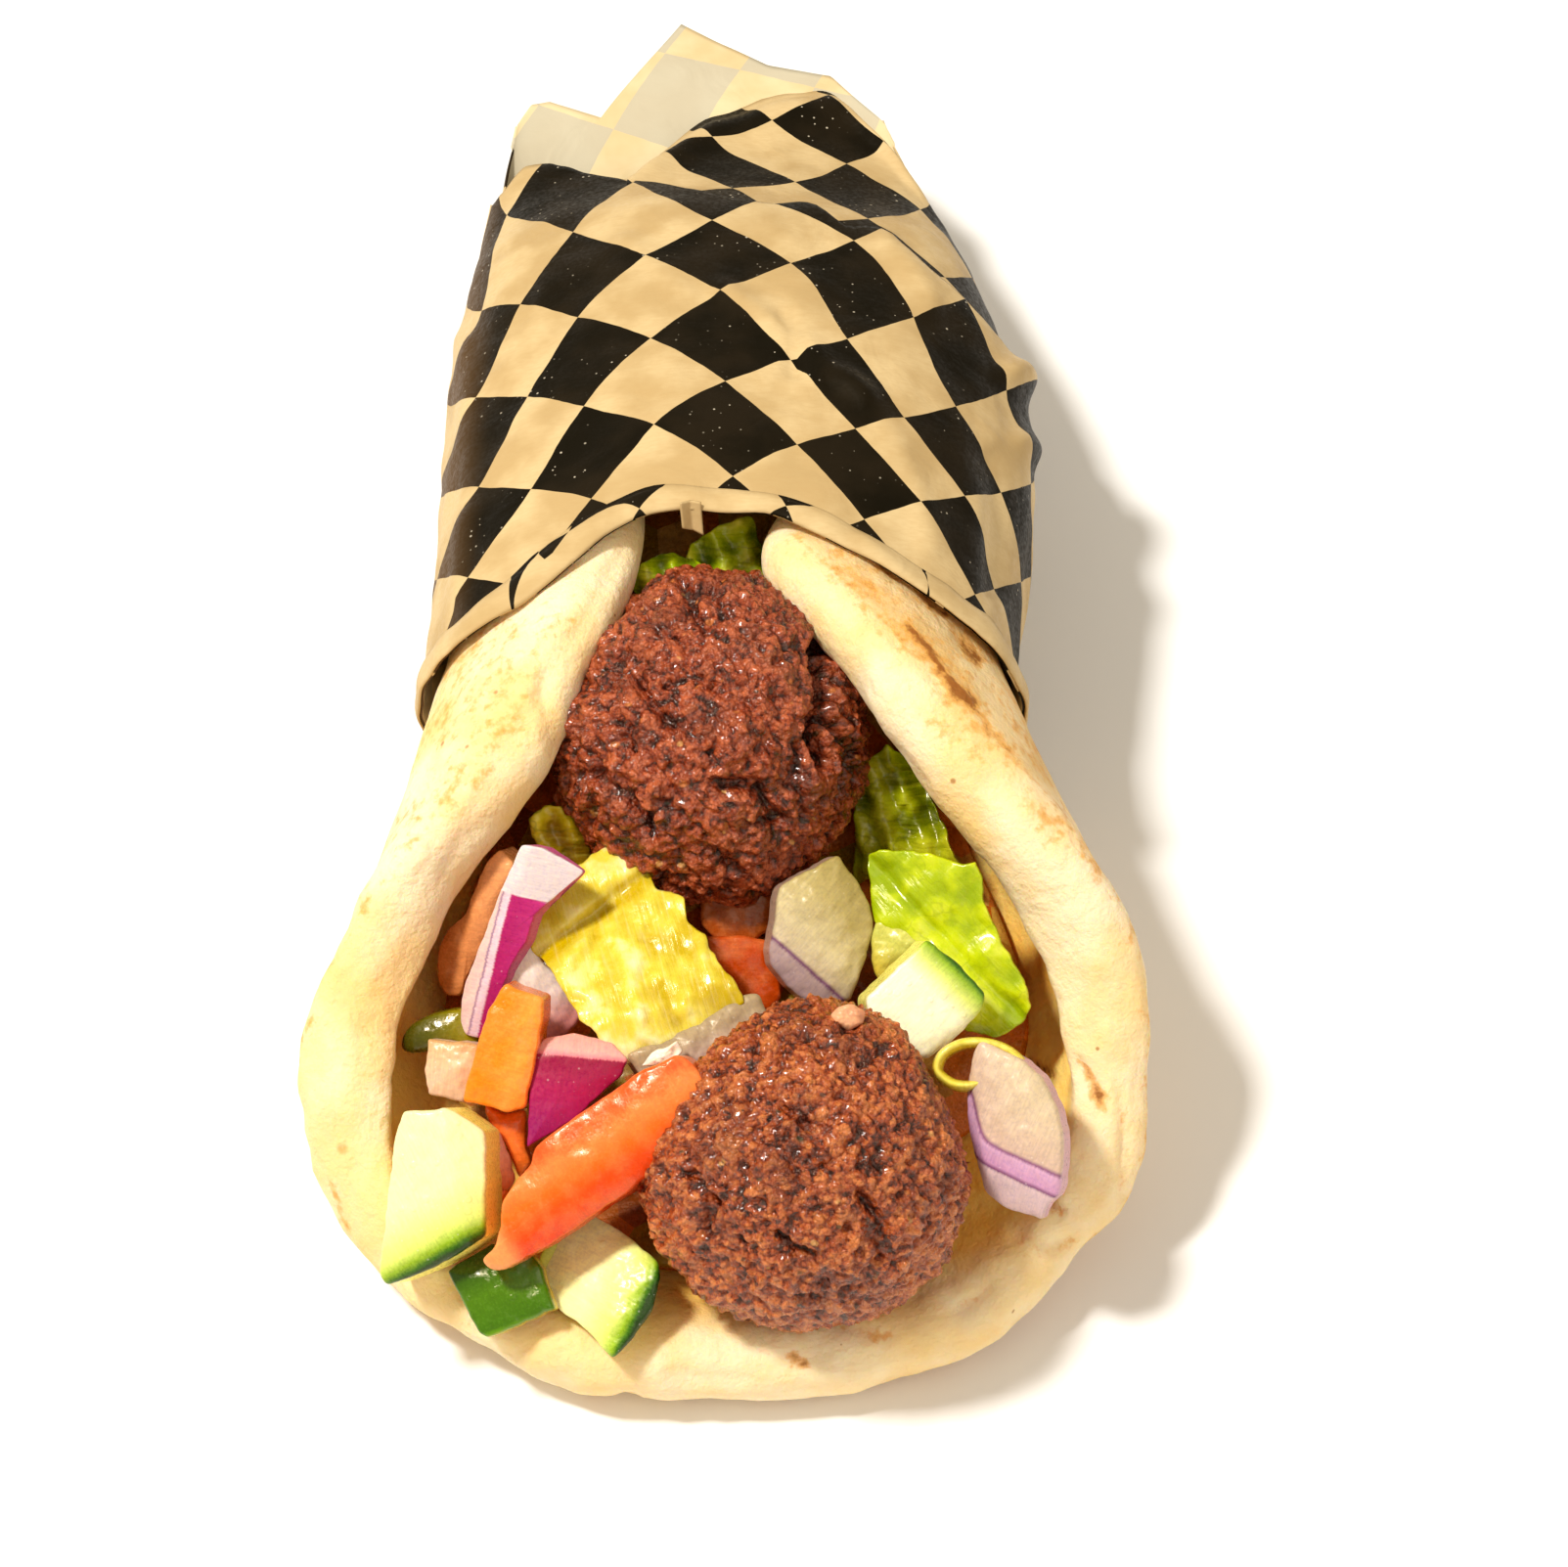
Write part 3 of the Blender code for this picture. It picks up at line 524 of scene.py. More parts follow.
def falafel_look(name, low, mid, high, gloss):
    """Fried crust: dark with painted shade between the crumbs and in pits and cracks, redder on
    the crumbs, where the lightest colour is partly painted light, with herb flecks and seeds.
    """
    mat, tree, shader = new_look(name, gloss, 0.0, coat=0.4, shine=0.8, glint=(1.0, 0.8, 0.66))
    place = object_place(tree)
    crag = mark(tree, "crag")
    fine = noise(tree, place, 0.4, 4.0, 0.7)
    level = plus(tree, crag, swing(tree, fine, 0.5, 0.6))
    # Each layer of cells darkens the gaps between crumbs: painted shade.
    for spacing, share in ((1.5, 0.42), (0.75, 0.3)):
        away, shade = cells(tree, place, 1.0 / spacing)
        dip = between(tree, away, 0.25, 0.75)
        level = plus(tree, level, times(tree, minus(tree, shade[0], 0.45), share))
        level = minus(tree, level, times(tree, dip, 0.12))
    # Its darkest stop and low colour are painted shade in cracks, pits and crumb gaps; its high colour is
    # partly painted light.
    colour = ramp(tree, level, ((0.0, tone(40, 5, 0)), (0.16, low), (0.42, mid), (0.85, high)))
    patch = noise(tree, place, 7.0, 2.0)
    colour = mixed(tree, between(tree, patch, 0.45, 0.7, 0.0, 0.4), colour, low)
    for spacing, share, radius, shade in ((1.9, 0.10, 0.34, tone(214, 128, 58)),
                                          (1.5, 0.05, 0.36, tone(28, 24, 12)),
                                          (3.1, 0.10, 0.20, tone(232, 178, 104)),
                                          (2.6, 0.06, 0.26, tone(52, 58, 24))):
        oval = scaled(tree, place, (1.0, 1.7, 0.8))
        flake = use_group(tree, "flecks", {"Place": oval, "Spacing": spacing, "Share": share,
                                           "Radius": radius})
        colour = mixed(tree, times(tree, flake["Mask"], 0.75), colour, shade)
    join(tree, colour, shader.inputs["Base Color"])
    wet = noise(tree, place, 1.3, 2.0)
    join(tree, between(tree, wet, 0.35, 0.65, gloss - 0.1, gloss + 0.2), shader.inputs["Roughness"])
    normal = None
    for spacing, tall in ((1.4, 0.6), (0.65, 0.32)):
        away, shade = cells(tree, place, 1.0 / spacing)
        height = minus(tree, times(tree, shade[1], 0.6), away)
        normal = bumped(tree, height, tall, 1.0, normal)
    join(tree, bumped(tree, fine, 0.25, 0.9, normal), shader.inputs["Normal"])
    return mat


def cut_look(name, stops, kind, wander=0.3, streak=0.0, cap=None, side=None):
    """Finish of a cut piece. Colour stops lie along its band at places in millimetres.
    Wander and streak shake the bands, cap covers what lies past a cross distance, and side
    is the colour of its cut sides."""
    gloss, soften, coat = {"onion": (0.36, 0.20, 0.05), "tomato": (0.20, 0.10, 0.2),
                           "cucumber": (0.30, 0.12, 0.1), "pepper": (0.16, 0.05, 0.4),
                           "pickle": (0.20, 0.10, 0.3)}[kind]
    mat, tree, shader = new_look(name, gloss, soften, (1.0, 0.6, 0.3), coat, 0.4)
    place = object_place(tree)
    cut = mark(tree, "cut", True)
    band, cross, depth = parts(tree, cut)
    grain = use_group(tree, "grain", {"Place": place, "Blotch size": 3.0, "Fine size": 0.5})
    threads = scaled(tree, cut, (0.35, 3.2, 0.3))
    fibre = noise(tree, threads, 1.0, 3.0)
    shaken = plus(tree, band, swing(tree, grain["Height"], 0.75, wander))
    shaken = plus(tree, shaken, swing(tree, fibre, 0.5, streak))
    start = stops[0][0]
    span = stops[-1][0] - start
    along = calc(tree, "DIVIDE", minus(tree, shaken, start), span, clamp=True)
    colour = ramp(tree, along, [((at - start) / span, shade) for at, shade in stops])
    if cap:
        begin, shade, hardness = cap
        edge = plus(tree, cross, swing(tree, fibre, 0.5, streak))
        edge = minus(tree, edge, begin)
        edge = times(tree, edge, 1.0 if begin > 0 else -1.0)
        colour = mixed(tree, between(tree, edge, 0.0, hardness), colour, shade)
    if side:
        colour = mixed(tree, between(tree, depth, 0.4, 1.6), colour, side)
    if kind == "tomato":
        colour = mixed(tree, times(tree, grain["Blotch"], 0.22), colour, tone(255, 164, 92))
    shade_by = between(tree, grain["Fine"], 0.0, 1.0, 0.94, 1.05)
    strands = between(tree, fibre, 0.3, 0.7, 0.93, 1.06)
    colour = mixed(tree, 1.0, colour, put(tree, "CombineColor", {"Red": times(tree, shade_by, strands),
                   "Green": times(tree, shade_by, strands), "Blue": strands}).outputs[0], "MULTIPLY")
    if kind in ("onion", "cucumber"):
        frost = use_group(tree, "flecks", {"Place": place, "Spacing": 0.7, "Share": 0.2, "Radius": 0.22})
        colour = mixed(tree, times(tree, frost["Mask"], 0.22), colour, tone(250, 246, 238))
    join(tree, colour, shader.inputs["Base Color"])
    join(tree, between(tree, grain["Fine"], 0.0, 1.0, gloss - 0.1, gloss + 0.16), shader.inputs["Roughness"])
    beads = use_group(tree, "flecks", {"Place": place, "Spacing": 1.5, "Share": 0.35, "Radius": 0.35})
    normal = bumped(tree, grain["Height"], 0.10 if kind in ("onion", "cucumber") else 0.2, 0.6)
    normal = bumped(tree, fibre, 0.05, 0.5, normal)
    if kind != "onion":
        normal = bumped(tree, beads["Mask"], 0.05 if kind == "tomato" else 0.14, 0.5, normal)
    join(tree, normal, shader.inputs["Normal"])
    return mat


def leaf_look(name, pale, full, deep, vein, vein_size, rib=0.0):
    """Lettuce: pale to full colour with the leaf's height, painted light on its crests and painted
    shade in its hollows and creases, and a network of thin veins.
    """
    mat, tree, shader = new_look(name, 0.26, 0.25, (0.8, 1.0, 0.2), coat=0.3)
    place = object_place(tree)
    cut = mark(tree, "cut", True)
    lift = mark(tree, "lift")
    grain = use_group(tree, "grain", {"Place": place, "Blotch size": 5.0, "Fine size": 0.6})
    # Painted light and shade: raised parts pale, sunken parts and creases deep.
    shift = plus(tree, lift, swing(tree, grain["Blotch"], 0.5, 0.5))
    colour = ramp(tree, shift, ((0.05, deep), (0.5, full), (0.95, pale)))
    warped = scaled(tree, cut, (0.55, 1.0, 0.6))
    stray = put(tree, "TexNoise", {"Vector": cut, "Scale": 0.3, "Detail": 2.0}).outputs["Color"]
    stray = scaled(tree, stray, (4.0, 4.0, 4.0))
    warped = put(tree, "VectorMath", {0: warped, 1: stray}, operation="ADD").outputs["Vector"]
    net = put(tree, "TexVoronoi", {"Vector": warped, "Scale": 1.0 / vein_size}, feature="DISTANCE_TO_EDGE")
    line = between(tree, net.outputs["Distance"], 0.055, 0.0)
    colour = mixed(tree, times(tree, line, 0.4), colour, vein)
    threads = scaled(tree, cut, (0.16, 1.4, 0.3))
    ribs = noise(tree, threads, 1.0, 2.0)
    colour = mixed(tree, between(tree, ribs, 0.5, 0.72, 0.0, rib), colour, pale)
    join(tree, colour, shader.inputs["Base Color"])
    join(tree, between(tree, grain["Fine"], 0.0, 1.0, 0.14, 0.36), shader.inputs["Roughness"])
    normal = bumped(tree, grain["Height"], 0.22, 0.6)
    normal = bumped(tree, ribs, 0.4, 0.3 + rib, normal)
    join(tree, bumped(tree, line, 0.2, -0.6, normal), shader.inputs["Normal"])
    return mat


def salad_look():
    """Packed small salad seen in the gaps between the pieces: orange and green, with dark
    brown painted shade.
    """
    mat, tree, shader = new_look("packed salad", 0.3, 0.1, coat=0.3)
    place = object_place(tree)
    pick = cells(tree, place, 0.16)[1][0]
    grain = use_group(tree, "grain", {"Place": place, "Blotch size": 4.0, "Fine size": 0.7})
    colour = ramp(tree, pick, ((0.0, tone(140, 60, 4)), (0.3, tone(224, 120, 24)), (0.55, tone(176, 84, 8)),
                               (0.8, tone(160, 136, 14)), (1.0, tone(226, 170, 84))))
    # Dark brown blotches: painted shade of the gaps between the pieces.
    colour = mixed(tree, times(tree, grain["Blotch"], 0.4), colour, tone(104, 38, 2))
    join(tree, colour, shader.inputs["Base Color"])
    join(tree, between(tree, grain["Fine"], 0, 1, 0.2, 0.45), shader.inputs["Roughness"])
    join(tree, bumped(tree, grain["Height"], 0.8, 0.8), shader.inputs["Normal"])
    return mat


def paper_look(name, inside):
    """Kraft paper. The outside carries the checks, and the inside shows them faintly. The
    checks come from the sheet's own lattice: a square is dark where both halves agree."""
    mat, tree, shader = new_look(name, 0.55, 0.0, shine=0.08)
    place = object_place(tree)
    uv = put(tree, "UVMap", uv_map="sheet").outputs["UV"]
    across_part, along_part, _ = parts(tree, uv)
    wobble = noise(tree, place, 5.0, 2.0)
    wobble = swing(tree, wobble, 0.5, 0.03)
    one = plus(tree, times(tree, plus(tree, across_part, along_part), 0.5), wobble)
    two = plus(tree, times(tree, minus(tree, across_part, along_part), 0.5), wobble)
    waves = []
    for value in (one, two):
        wave = calc(tree, "SINE", times(tree, value, np.pi))
        waves.append(between(tree, wave, -0.03, 0.03, -1.0, 1.0))
    dark = between(tree, times(tree, *waves), 0.35, -0.35)
    grain = use_group(tree, "grain", {"Place": place, "Blotch size": 11.0, "Fine size": 0.7})
    fibres = scaled(tree, place, (0.5, 2.0, 1.0))
    fibre = noise(tree, fibres, 0.9, 4.0, 0.65)
    kraft = mixed(tree, grain["Blotch"], tone(212, 186, 137), tone(190, 161, 111))
    kraft = mixed(tree, between(tree, fibre, 0.35, 0.7, 0.0, 0.25), kraft, tone(186, 152, 102))
    ink = mixed(tree, grain["Blotch"], tone(16, 12, 4), tone(30, 23, 12))
    # Painted light: the ink turns lighter on the left flank, which faces the light.
    faded = between(tree, parts(tree, place)[0], -35.0, -43.0, 0.0, 0.6)
    ink = mixed(tree, faded, ink, tone(112, 80, 42))
    dust = use_group(tree, "flecks", {"Place": place, "Spacing": 1.1, "Share": 0.5, "Radius": 0.17})
    heaped = between(tree, noise(tree, place, 16.0, 2.0), 0.42, 0.6)
    dust = times(tree, dust["Mask"], heaped)
    ink = mixed(tree, times(tree, dust, 0.75), ink, tone(216, 204, 180))
    if inside:
        plain = mixed(tree, grain["Blotch"], tone(228, 208, 164), tone(218, 193, 144))
        colour = mixed(tree, times(tree, dark, 0.75), plain, tone(190, 184, 164))
    else:
        colour = mixed(tree, dark, kraft, ink)
    join(tree, colour, shader.inputs["Base Color"])
    join(tree, between(tree, grain["Fine"], 0, 1, 0.4, 0.6), shader.inputs["Roughness"])
    crumple = noise(tree, place, 9.0, 3.0, 0.5, 0.8)
    normal = bumped(tree, crumple, 0.9, 0.5)
    join(tree, bumped(tree, fibre, 0.05, 0.5, normal), shader.inputs["Normal"])
    return mat


# Bread
BREAD_AROUND = 480
FACE_RINGS = (14, 58)
RIM_RINGS = 34
RIM_TURN = 88
RIM_PUFF = 1.6
# The rims' further fold: share of the turn added, station of its middle and its half length
RIGHT_FOLD = (0.09, 98, 24)
LEFT_FOLD = (0.05, 87, 21)
# Lumps of the dough: height, size, seed and layers
BREAD_LUMPS = ((0.75, 24.0, 11, 2), (0.6, 9.0, 12, 1), (0.3, 4.2, 13, 2))
# The right flank's upper edge in the photograph, as rows and columns of pixels
FLANK_ROWS = (539, 600, 695, 773, 815)
FLANK_COLUMNS = (800, 872, 962, 1024, 1066)


def bread_profile():
    """Walk from the middle of the inner face, round the rim and back under the outer
    face: distance from the disc's middle, height off the sheet's middle, and the outward
    direction's turn from the sheet, a quarter turn on the inner face."""
    half = BREAD_THICK / 2
    puff = half + RIM_PUFF
    centre = BREAD_RADIUS - puff
    coarse, fine = FACE_RINGS
    face = centre * np.concatenate((np.linspace(0.02, 0.5, coarse), np.linspace(0.52, 1.0, fine)))
    height = half + RIM_PUFF * step(face, centre - 14, centre - 1)
    turn = np.radians(np.linspace(RIM_TURN, -RIM_TURN, RIM_RINGS))
    edge = centre + puff * np.cos(turn)
    rise = puff * np.sin(turn)
    quarter = np.full(face.shape, np.pi / 2)
    return (np.concatenate((face, edge, face[::-1])), np.concatenate((height, rise, -height[::-1])),
            np.concatenate((quarter, turn, -quarter)))


def curled(a, station):
    """Curled sheet with its two rims folded a little further in at the paper's edge: the
    distance off the centre line grows by a Gaussian along the roll, towards each rim."""
    further = 1
    for (share, middle, reach), side in ((RIGHT_FOLD, 1), (LEFT_FOLD, -1)):
        further = further + share * np.exp(-((station - middle) / reach) ** 2) * step(a, side * 45, side * 95)
    return bread_point(a * further, station)


# Marks on the bread as the photograph shows them, in pixels: line, half width, depth pressed
# in (below 0 raised) in millimetres, and how brown they are
BREAD_MARKS = (
    (((1104, 1092), (1116, 1110), (1124, 1126)), 9, 0.9, 0.9),
    (((1052, 1083), (1074, 1098)), 5, 0.7, 1.0),
    (((1068, 1228), (1082, 1240)), 6, 1.2, 0.5),
    (((1146, 1120), (1152, 1170), (1146, 1225)), 6, 0.8, 0.2),
    (((640, 562), (590, 640), (520, 760), (452, 898)), 11, 0.4, 0.12),
    (((1040, 1262), (1066, 1282), (1092, 1276)), 9, 0.9, 0.4),
    (((850, 1352), (905, 1366)), 9, 0.6, 0.5),
    (((642, 1432), (652, 1442)), 7, 1.2, 0.5),
    (((808, 1386), (822, 1396)), 6, 0.4, 0.8),
    (((930, 640), (950, 662), (966, 690), (990, 716)), 4, -0.5, 0.8),
    (((972, 700), (1004, 735), (1030, 772)), 3, 0.1, 0.5),
    (((905, 575), (920, 590)), 6, 0.4, 0.5),
    (((945, 605), (965, 622)), 7, 0.4, 0.6),
    (((985, 650), (1000, 672)), 6, 0.4, 0.6),
    (((556, 690), (566, 760)), 9, 0.8, 0.1),
    (((474, 910), (500, 900)), 8, 0.9, 0.3),
    (((1040, 1000), (1010, 930)), 8, 0.7, 0.25),
    (((940, 800), (905, 762)), 8, 1.0, 0.2),
    (((372, 1060), (398, 1052)), 7, 0.5, 0.3),
    (((340, 1210), (352, 1260)), 6, 0.3, 0.6),
    (((980, 1340), (1010, 1318)), 8, 0.6, 0.35),
    (((700, 1405), (760, 1412)), 8, 0.5, 0.2),
)


def bread_browning(out, a, station, turned, seen, pixels):
    """Toast and tan flank as shares from 0 to 1. The outer face is browner to the right, toast
    and painted shade where it turns from the light, and browner underneath. Where the
    photograph shows the right flank past its upper edge, it is tan, toasted skin with painted
    shade, with a toasted line along that edge."""
    px, py = pixels
    outer = step(turned, 0.2, -0.9) * step(out, 60, 92)
    right = step(a, -10, 40)
    # The extra toast on the right of the outer face is partly painted shade.
    toast = (0.08 + 0.2 * right) * outer * (1 - 0.8 * seen) + 0.35 * step(turned, -0.6, -1.5)
    aside = px - np.interp(py, FLANK_ROWS, FLANK_COLUMNS)
    # The right flank past its upper edge: tan of toasted skin and painted shade.
    turned_away = step(aside, -3, 12) * step(py, 835, 790) * step(station, 40, 60) * seen * step(a, 20, 40)
    toast = toast + 0.35 * np.exp(-(aside / 4) ** 2) * turned_away ** 0.3
    return toast, np.maximum(outer * right * (1 - seen), turned_away)


def make_bread():
    """Two faces and a puffed rim over the curled sheet. Lumps, dimples and creases press it
    in or out along its own outward direction, which turns with the rim."""
    out, height, turned = bread_profile()
    turn = np.linspace(0, 2 * np.pi, BREAD_AROUND, endpoint=False)
    out, turn = np.meshgrid(out, turn, indexing="ij")
    height = np.repeat(height[:, None], BREAD_AROUND, axis=1)
    turned = np.repeat(turned[:, None], BREAD_AROUND, axis=1)
    flat = np.stack((np.sin(turn), np.cos(turn)), axis=-1)
    wobble = rough_sum(np.stack((60 * flat[..., 0], 60 * flat[..., 1], 0 * turn), axis=-1), 17.0, 4)
    out = out + 1.1 * wobble * step(out, 60, 96)
    a, b = out * flat[..., 0], out * flat[..., 1]
    station = BREAD_RADIUS + b
    middle = curled(a, station)
    way = normal_of(curled, a, station, 0.5, 0.5)
    beyond = curled(a * 1.01, BREAD_RADIUS + b * 1.01) - curled(a * 0.99, BREAD_RADIUS + b * 0.99)
    beyond = beyond / np.maximum(np.linalg.norm(beyond, axis=-1, keepdims=True), 1e-9)
    outward = way * np.sin(turned)[..., None] + beyond * np.cos(turned)[..., None]
    body = middle + way * height[..., None]
    rim = step(out, 84, 95)
    soft = sum(tall * rough_sum(body, size, seed, layers) for tall, size, seed, layers in BREAD_LUMPS)
    soft = soft * (0.5 + 0.75 * rim)
    wrapped = step(station, 96, 114)
    soft = soft * (1 - 0.85 * wrapped) - 0.5 * wrapped
    px, py = photo_spot(body)
    seen = step(dot(outward, FORWARD), 0.35, -0.1)
    brown = np.zeros(out.shape)
    for line, wide, deep, shade in BREAD_MARKS:
        mark_here = np.exp(-(near_line(px, py, line) / wide) ** 2) * seen
        soft = soft - deep * mark_here
        brown = brown + shade * mark_here
    body = body + outward * soft[..., None]
    body[..., 2] = np.maximum(body[..., 2], 0.0)
    # Mask of the orange painted shade: the inner face out to the lip, where the front falafel's shadow falls.
    inside = step(height, 2.0, 4.0) * (1 - step(out, 85, 98))
    toast, flank = bread_browning(out, a, station, turned, seen, (px, py))
    bake = np.stack((toast + brown, inside, flank), axis=-1)
    middle_in = bread_point(np.array((0.0,)), np.array((BREAD_RADIUS,)))[0]
    lift = np.array((0, 0, BREAD_THICK / 2))
    ends = {"bake": [bake[0].mean(axis=0), bake[-1].mean(axis=0)]}
    bread = closed_rings("flatbread", body, middle_in + lift, middle_in - lift, {"bake": bake}, ends)
    return finish_piece(bread, bread_look(), "bread", "bread")


# Falafels

# Each falafel's place, radii and tilt in degrees, the heights of its clumps and pits, how
# much it narrows and shifts towards its top, its colours and gloss, and its cracks: line in
# pixels, half width in pixels and depth in millimetres
# Each falafel's lowest colour is also painted shade in its pits, cracks and crumb gaps.
FALAFELS = {
    "back": {
        "centre": (-2.0, -37.9, 44.0), "radii": (22.6, 23.0, 17.5), "tilt": (38, 6), "seed": 3,
        "clumps": 1.3, "pits": 0.8, "taper": (0.09, 0.4),
        "look": (tone(60, 9, 0), tone(140, 50, 16), tone(196, 100, 56), 0.2),
        "cracks": (
            (((846, 632), (838, 668), (848, 705), (838, 742), (846, 778)), 8, 7.0),
            (((846, 652), (872, 664), (893, 700)), 7, 2.5),
            (((852, 735), (872, 762), (880, 800)), 6, 2.5),
            (((650, 690), (664, 722), (690, 742)), 6, 1.8),
            (((742, 800), (775, 812), (800, 840)), 6, 1.8),
            (((700, 600), (722, 640)), 6, 1.5),
            (((610, 790), (640, 812), (668, 850)), 6, 1.6))},
    "front": {
        "centre": (11.2, -100.8, 29.6), "radii": (22.8, 22.4, 19.6), "tilt": (38, 0), "seed": 8,
        "clumps": 0.5, "pits": 0.35, "taper": (0.17, 2.2),
        "look": (tone(74, 15, 0), tone(160, 64, 15), tone(218, 130, 66), 0.24),
        "cracks": (
            (((700, 1200), (722, 1232), (716, 1262)), 6, 1.6),
            (((800, 1130), (826, 1150)), 6, 1.4),
            (((880, 1220), (905, 1250), (900, 1290)), 6, 1.6),
            (((790, 1270), (830, 1290)), 6, 1.4))},
}
CLUMP_SIZE = 4.6
CRUMB_SIZE = 1.8
GRAIN_SIZE = 1.05
FALAFEL_GAP = 0.6


def tilted(points, tilt):
    """Turn points about X and then about Y, in degrees."""
    cx, sx, cy, sy = (f(np.radians(t)) for t in tilt for f in (np.cos, np.sin))
    about_x = np.array(((1, 0, 0), (0, cx, -sx), (0, sx, cx)))
    about_y = np.array(((cy, 0, sy), (0, 1, 0), (-sy, 0, cy)))
    return points @ (about_y @ about_x).T


def make_falafel(key):
    """Flattened ball, its poles at its two sides: the radii times a unit direction. The
    crust is pushed out along that direction by lumps, by clumps and by small crumbs, and
    pressed in by a Gaussian of the distance to each crack that the photograph shows."""
    spec = FALAFELS[key]
    pole = np.linspace(0.012, np.pi - 0.012, 216)
    turn = np.linspace(0, 2 * np.pi, 450, endpoint=False)
    pole, turn = np.meshgrid(pole, turn, indexing="ij")
    way = np.stack((-np.cos(pole), np.sin(pole) * np.cos(turn), np.sin(pole) * np.sin(turn)), axis=-1)
    body = way * np.array(spec["radii"])
    seed = spec["seed"]
    place = np.array(spec["centre"])
    lump = 1 + 0.05 * rough(body, 17.0, seed)
    bent = body + 0.4 * np.stack([rough(body, 2.4, seed + k) for k in (20, 21, 22)], axis=-1)
    loose = body + 1.5 * np.stack([rough(body, 5.0, seed + k) for k in (30, 31, 32)], axis=-1)
    clump = crumbs(loose, CLUMP_SIZE, seed)
    pit = step(clump, 0.35, 0.0)
    crumb = crumbs(bent, CRUMB_SIZE, seed + 2)
    grain = crumbs(bent, GRAIN_SIZE, seed + 5)
    depth = 0.9 * rough(body, 6.5, seed + 1) + spec["clumps"] * clump
    depth = depth + 0.65 * crumb + 0.75 * grain - 1.2 - spec["pits"] * pit
    depth = depth + 0.5 * rough_sum(bent, 1.7, seed + 9, 2)
    # Colour height: low in pits and between crumbs, high on their tops, painting shade into the hollows.
    crag = 0.06 + 0.2 * clump + 0.3 * crumb + 0.36 * grain - 0.1 * pit
    narrow, shift = spec["taper"]
    top = step(body[..., 1], -2.0, 17.0)
    body[..., 0] = body[..., 0] * (1 - narrow * top) + shift * top
    px, py = photo_spot(tilted(body, spec["tilt"]) + place)
    seen = step(dot(tilted(way, spec["tilt"]), FORWARD), 0.1, -0.2)
    for line, wide, deep in spec["cracks"]:
        off = near_line(px + 5 * rough(body, 2.5, 40), py + 5 * rough(body, 2.5, 41), line)
        cut = np.exp(-(off / wide) ** 2) * seen
        depth = depth - deep * cut
        # A crack lowers the colour height too, which paints shade into it.
        crag = crag * (1 - 0.9 * cut * min(1.0, deep / 3))
    body = body * lump[..., None] + way * depth[..., None]
    body = tilted(body, spec["tilt"]) + place
    body[..., 2] = np.maximum(body[..., 2], FALAFEL_GAP)
    ends = tilted(np.array(((-1.0, 0, 0), (1.0, 0, 0))) * spec["radii"], spec["tilt"]) + place
    ball = closed_rings("falafel_" + key + "_crust", body, ends[0], ends[1], {"crag": crag},
                        {"crag": [0.5, 0.5]})
    low, mid, high, gloss = spec["look"]
    return finish_piece(ball, falafel_look("fried crust " + key, low, mid, high, gloss), "falafel",
                        "falafel_" + key)


# Cut pieces
ROUND_RINGS = 6
WALL_RINGS = 9
UNDER_SCALES = (0.7, 0.4, 0.05)
CUT_GAP = 0.6
CORNER_EASE = 0.6


class Cut:
    """One cut piece. Its outline, facets and colour band are read off the photograph in
    pixels and dropped on to the plane that its solid's top face lies in."""

    def __init__(self, node, slot, place, lean, thick, outline):
        """Lean gives the top face's tip towards the camera and its roll, in degrees."""
        self.node, self.slot, self.thick = node, slot, thick
        self.place = np.array(place, float)
        roll = np.radians(lean[1])
        tip = np.radians(lean[0])
        self.normal = np.array((np.sin(roll), -np.sin(tip) * np.cos(roll), np.cos(tip) * np.cos(roll)))
        side = RIGHT - self.normal * dot(RIGHT, self.normal)
        self.side = side / np.linalg.norm(side)
        self.up = np.cross(self.normal, self.side)
        self.outline = self.flat(outline)

    def flat(self, pixels):
        """Pixels of the photograph to millimetres on the piece's plane."""
        pixels = np.asarray(pixels, float)
        ray = photo_ray(pixels[..., 0], pixels[..., 1])
        reach = dot(self.place - EYE, self.normal) / dot(ray, self.normal)
        spot = EYE + ray * reach[..., None] - self.place
        return np.stack((dot(spot, self.side), dot(spot, self.up)), axis=-1)

    def world(self, flat, height):
        """Places on the piece's plane, raised along its normal, as points of the wrap."""
        return (self.place + flat[..., :1] * self.side + flat[..., 1:2] * self.up
                + height[..., None] * self.normal)


def soft_outline(corners, count, radius, ragged, seed):
    """Closed outline: the corners joined by straight lines, walked in even steps, rounded
    by a Gaussian of the given radius and then roughened sideways."""
    loop = np.concatenate((corners, corners[:1]))
    run = np.concatenate(((0.0,), np.cumsum(np.hypot(*np.diff(loop, axis=0).T))))
    at = np.linspace(0, run[-1], count, endpoint=False)
    walk = np.stack((np.interp(at, run, loop[:, 0]), np.interp(at, run, loop[:, 1])), axis=1)
    wave = np.fft.fftfreq(count, d=run[-1] / count)
    keep = np.exp(-0.5 * (2 * np.pi * wave * radius) ** 2)
    walk = np.real(np.fft.ifft(np.fft.fft(walk, axis=0) * keep[:, None], axis=0))
    out = np.roll(walk, -1, axis=0) - np.roll(walk, 1, axis=0)
    out = np.stack((out[:, 1], -out[:, 0]), axis=1) / np.maximum(np.hypot(*out.T), 1e-6)[:, None]
    return walk + out * (ragged * rough_sum(with_third(walk, seed * 3.1), 1.6, seed, 2))[:, None]


def side_of(flat, line):
    """Distance in millimetres to the right of a line through two points, seen from its
    first point, and below 0 on its left."""
    (x0, y0), (x1, y1) = line
    length = np.hypot(x1 - x0, y1 - y0)
    return ((flat[..., 0] - x0) * (y1 - y0) - (flat[..., 1] - y0) * (x1 - x0)) / length


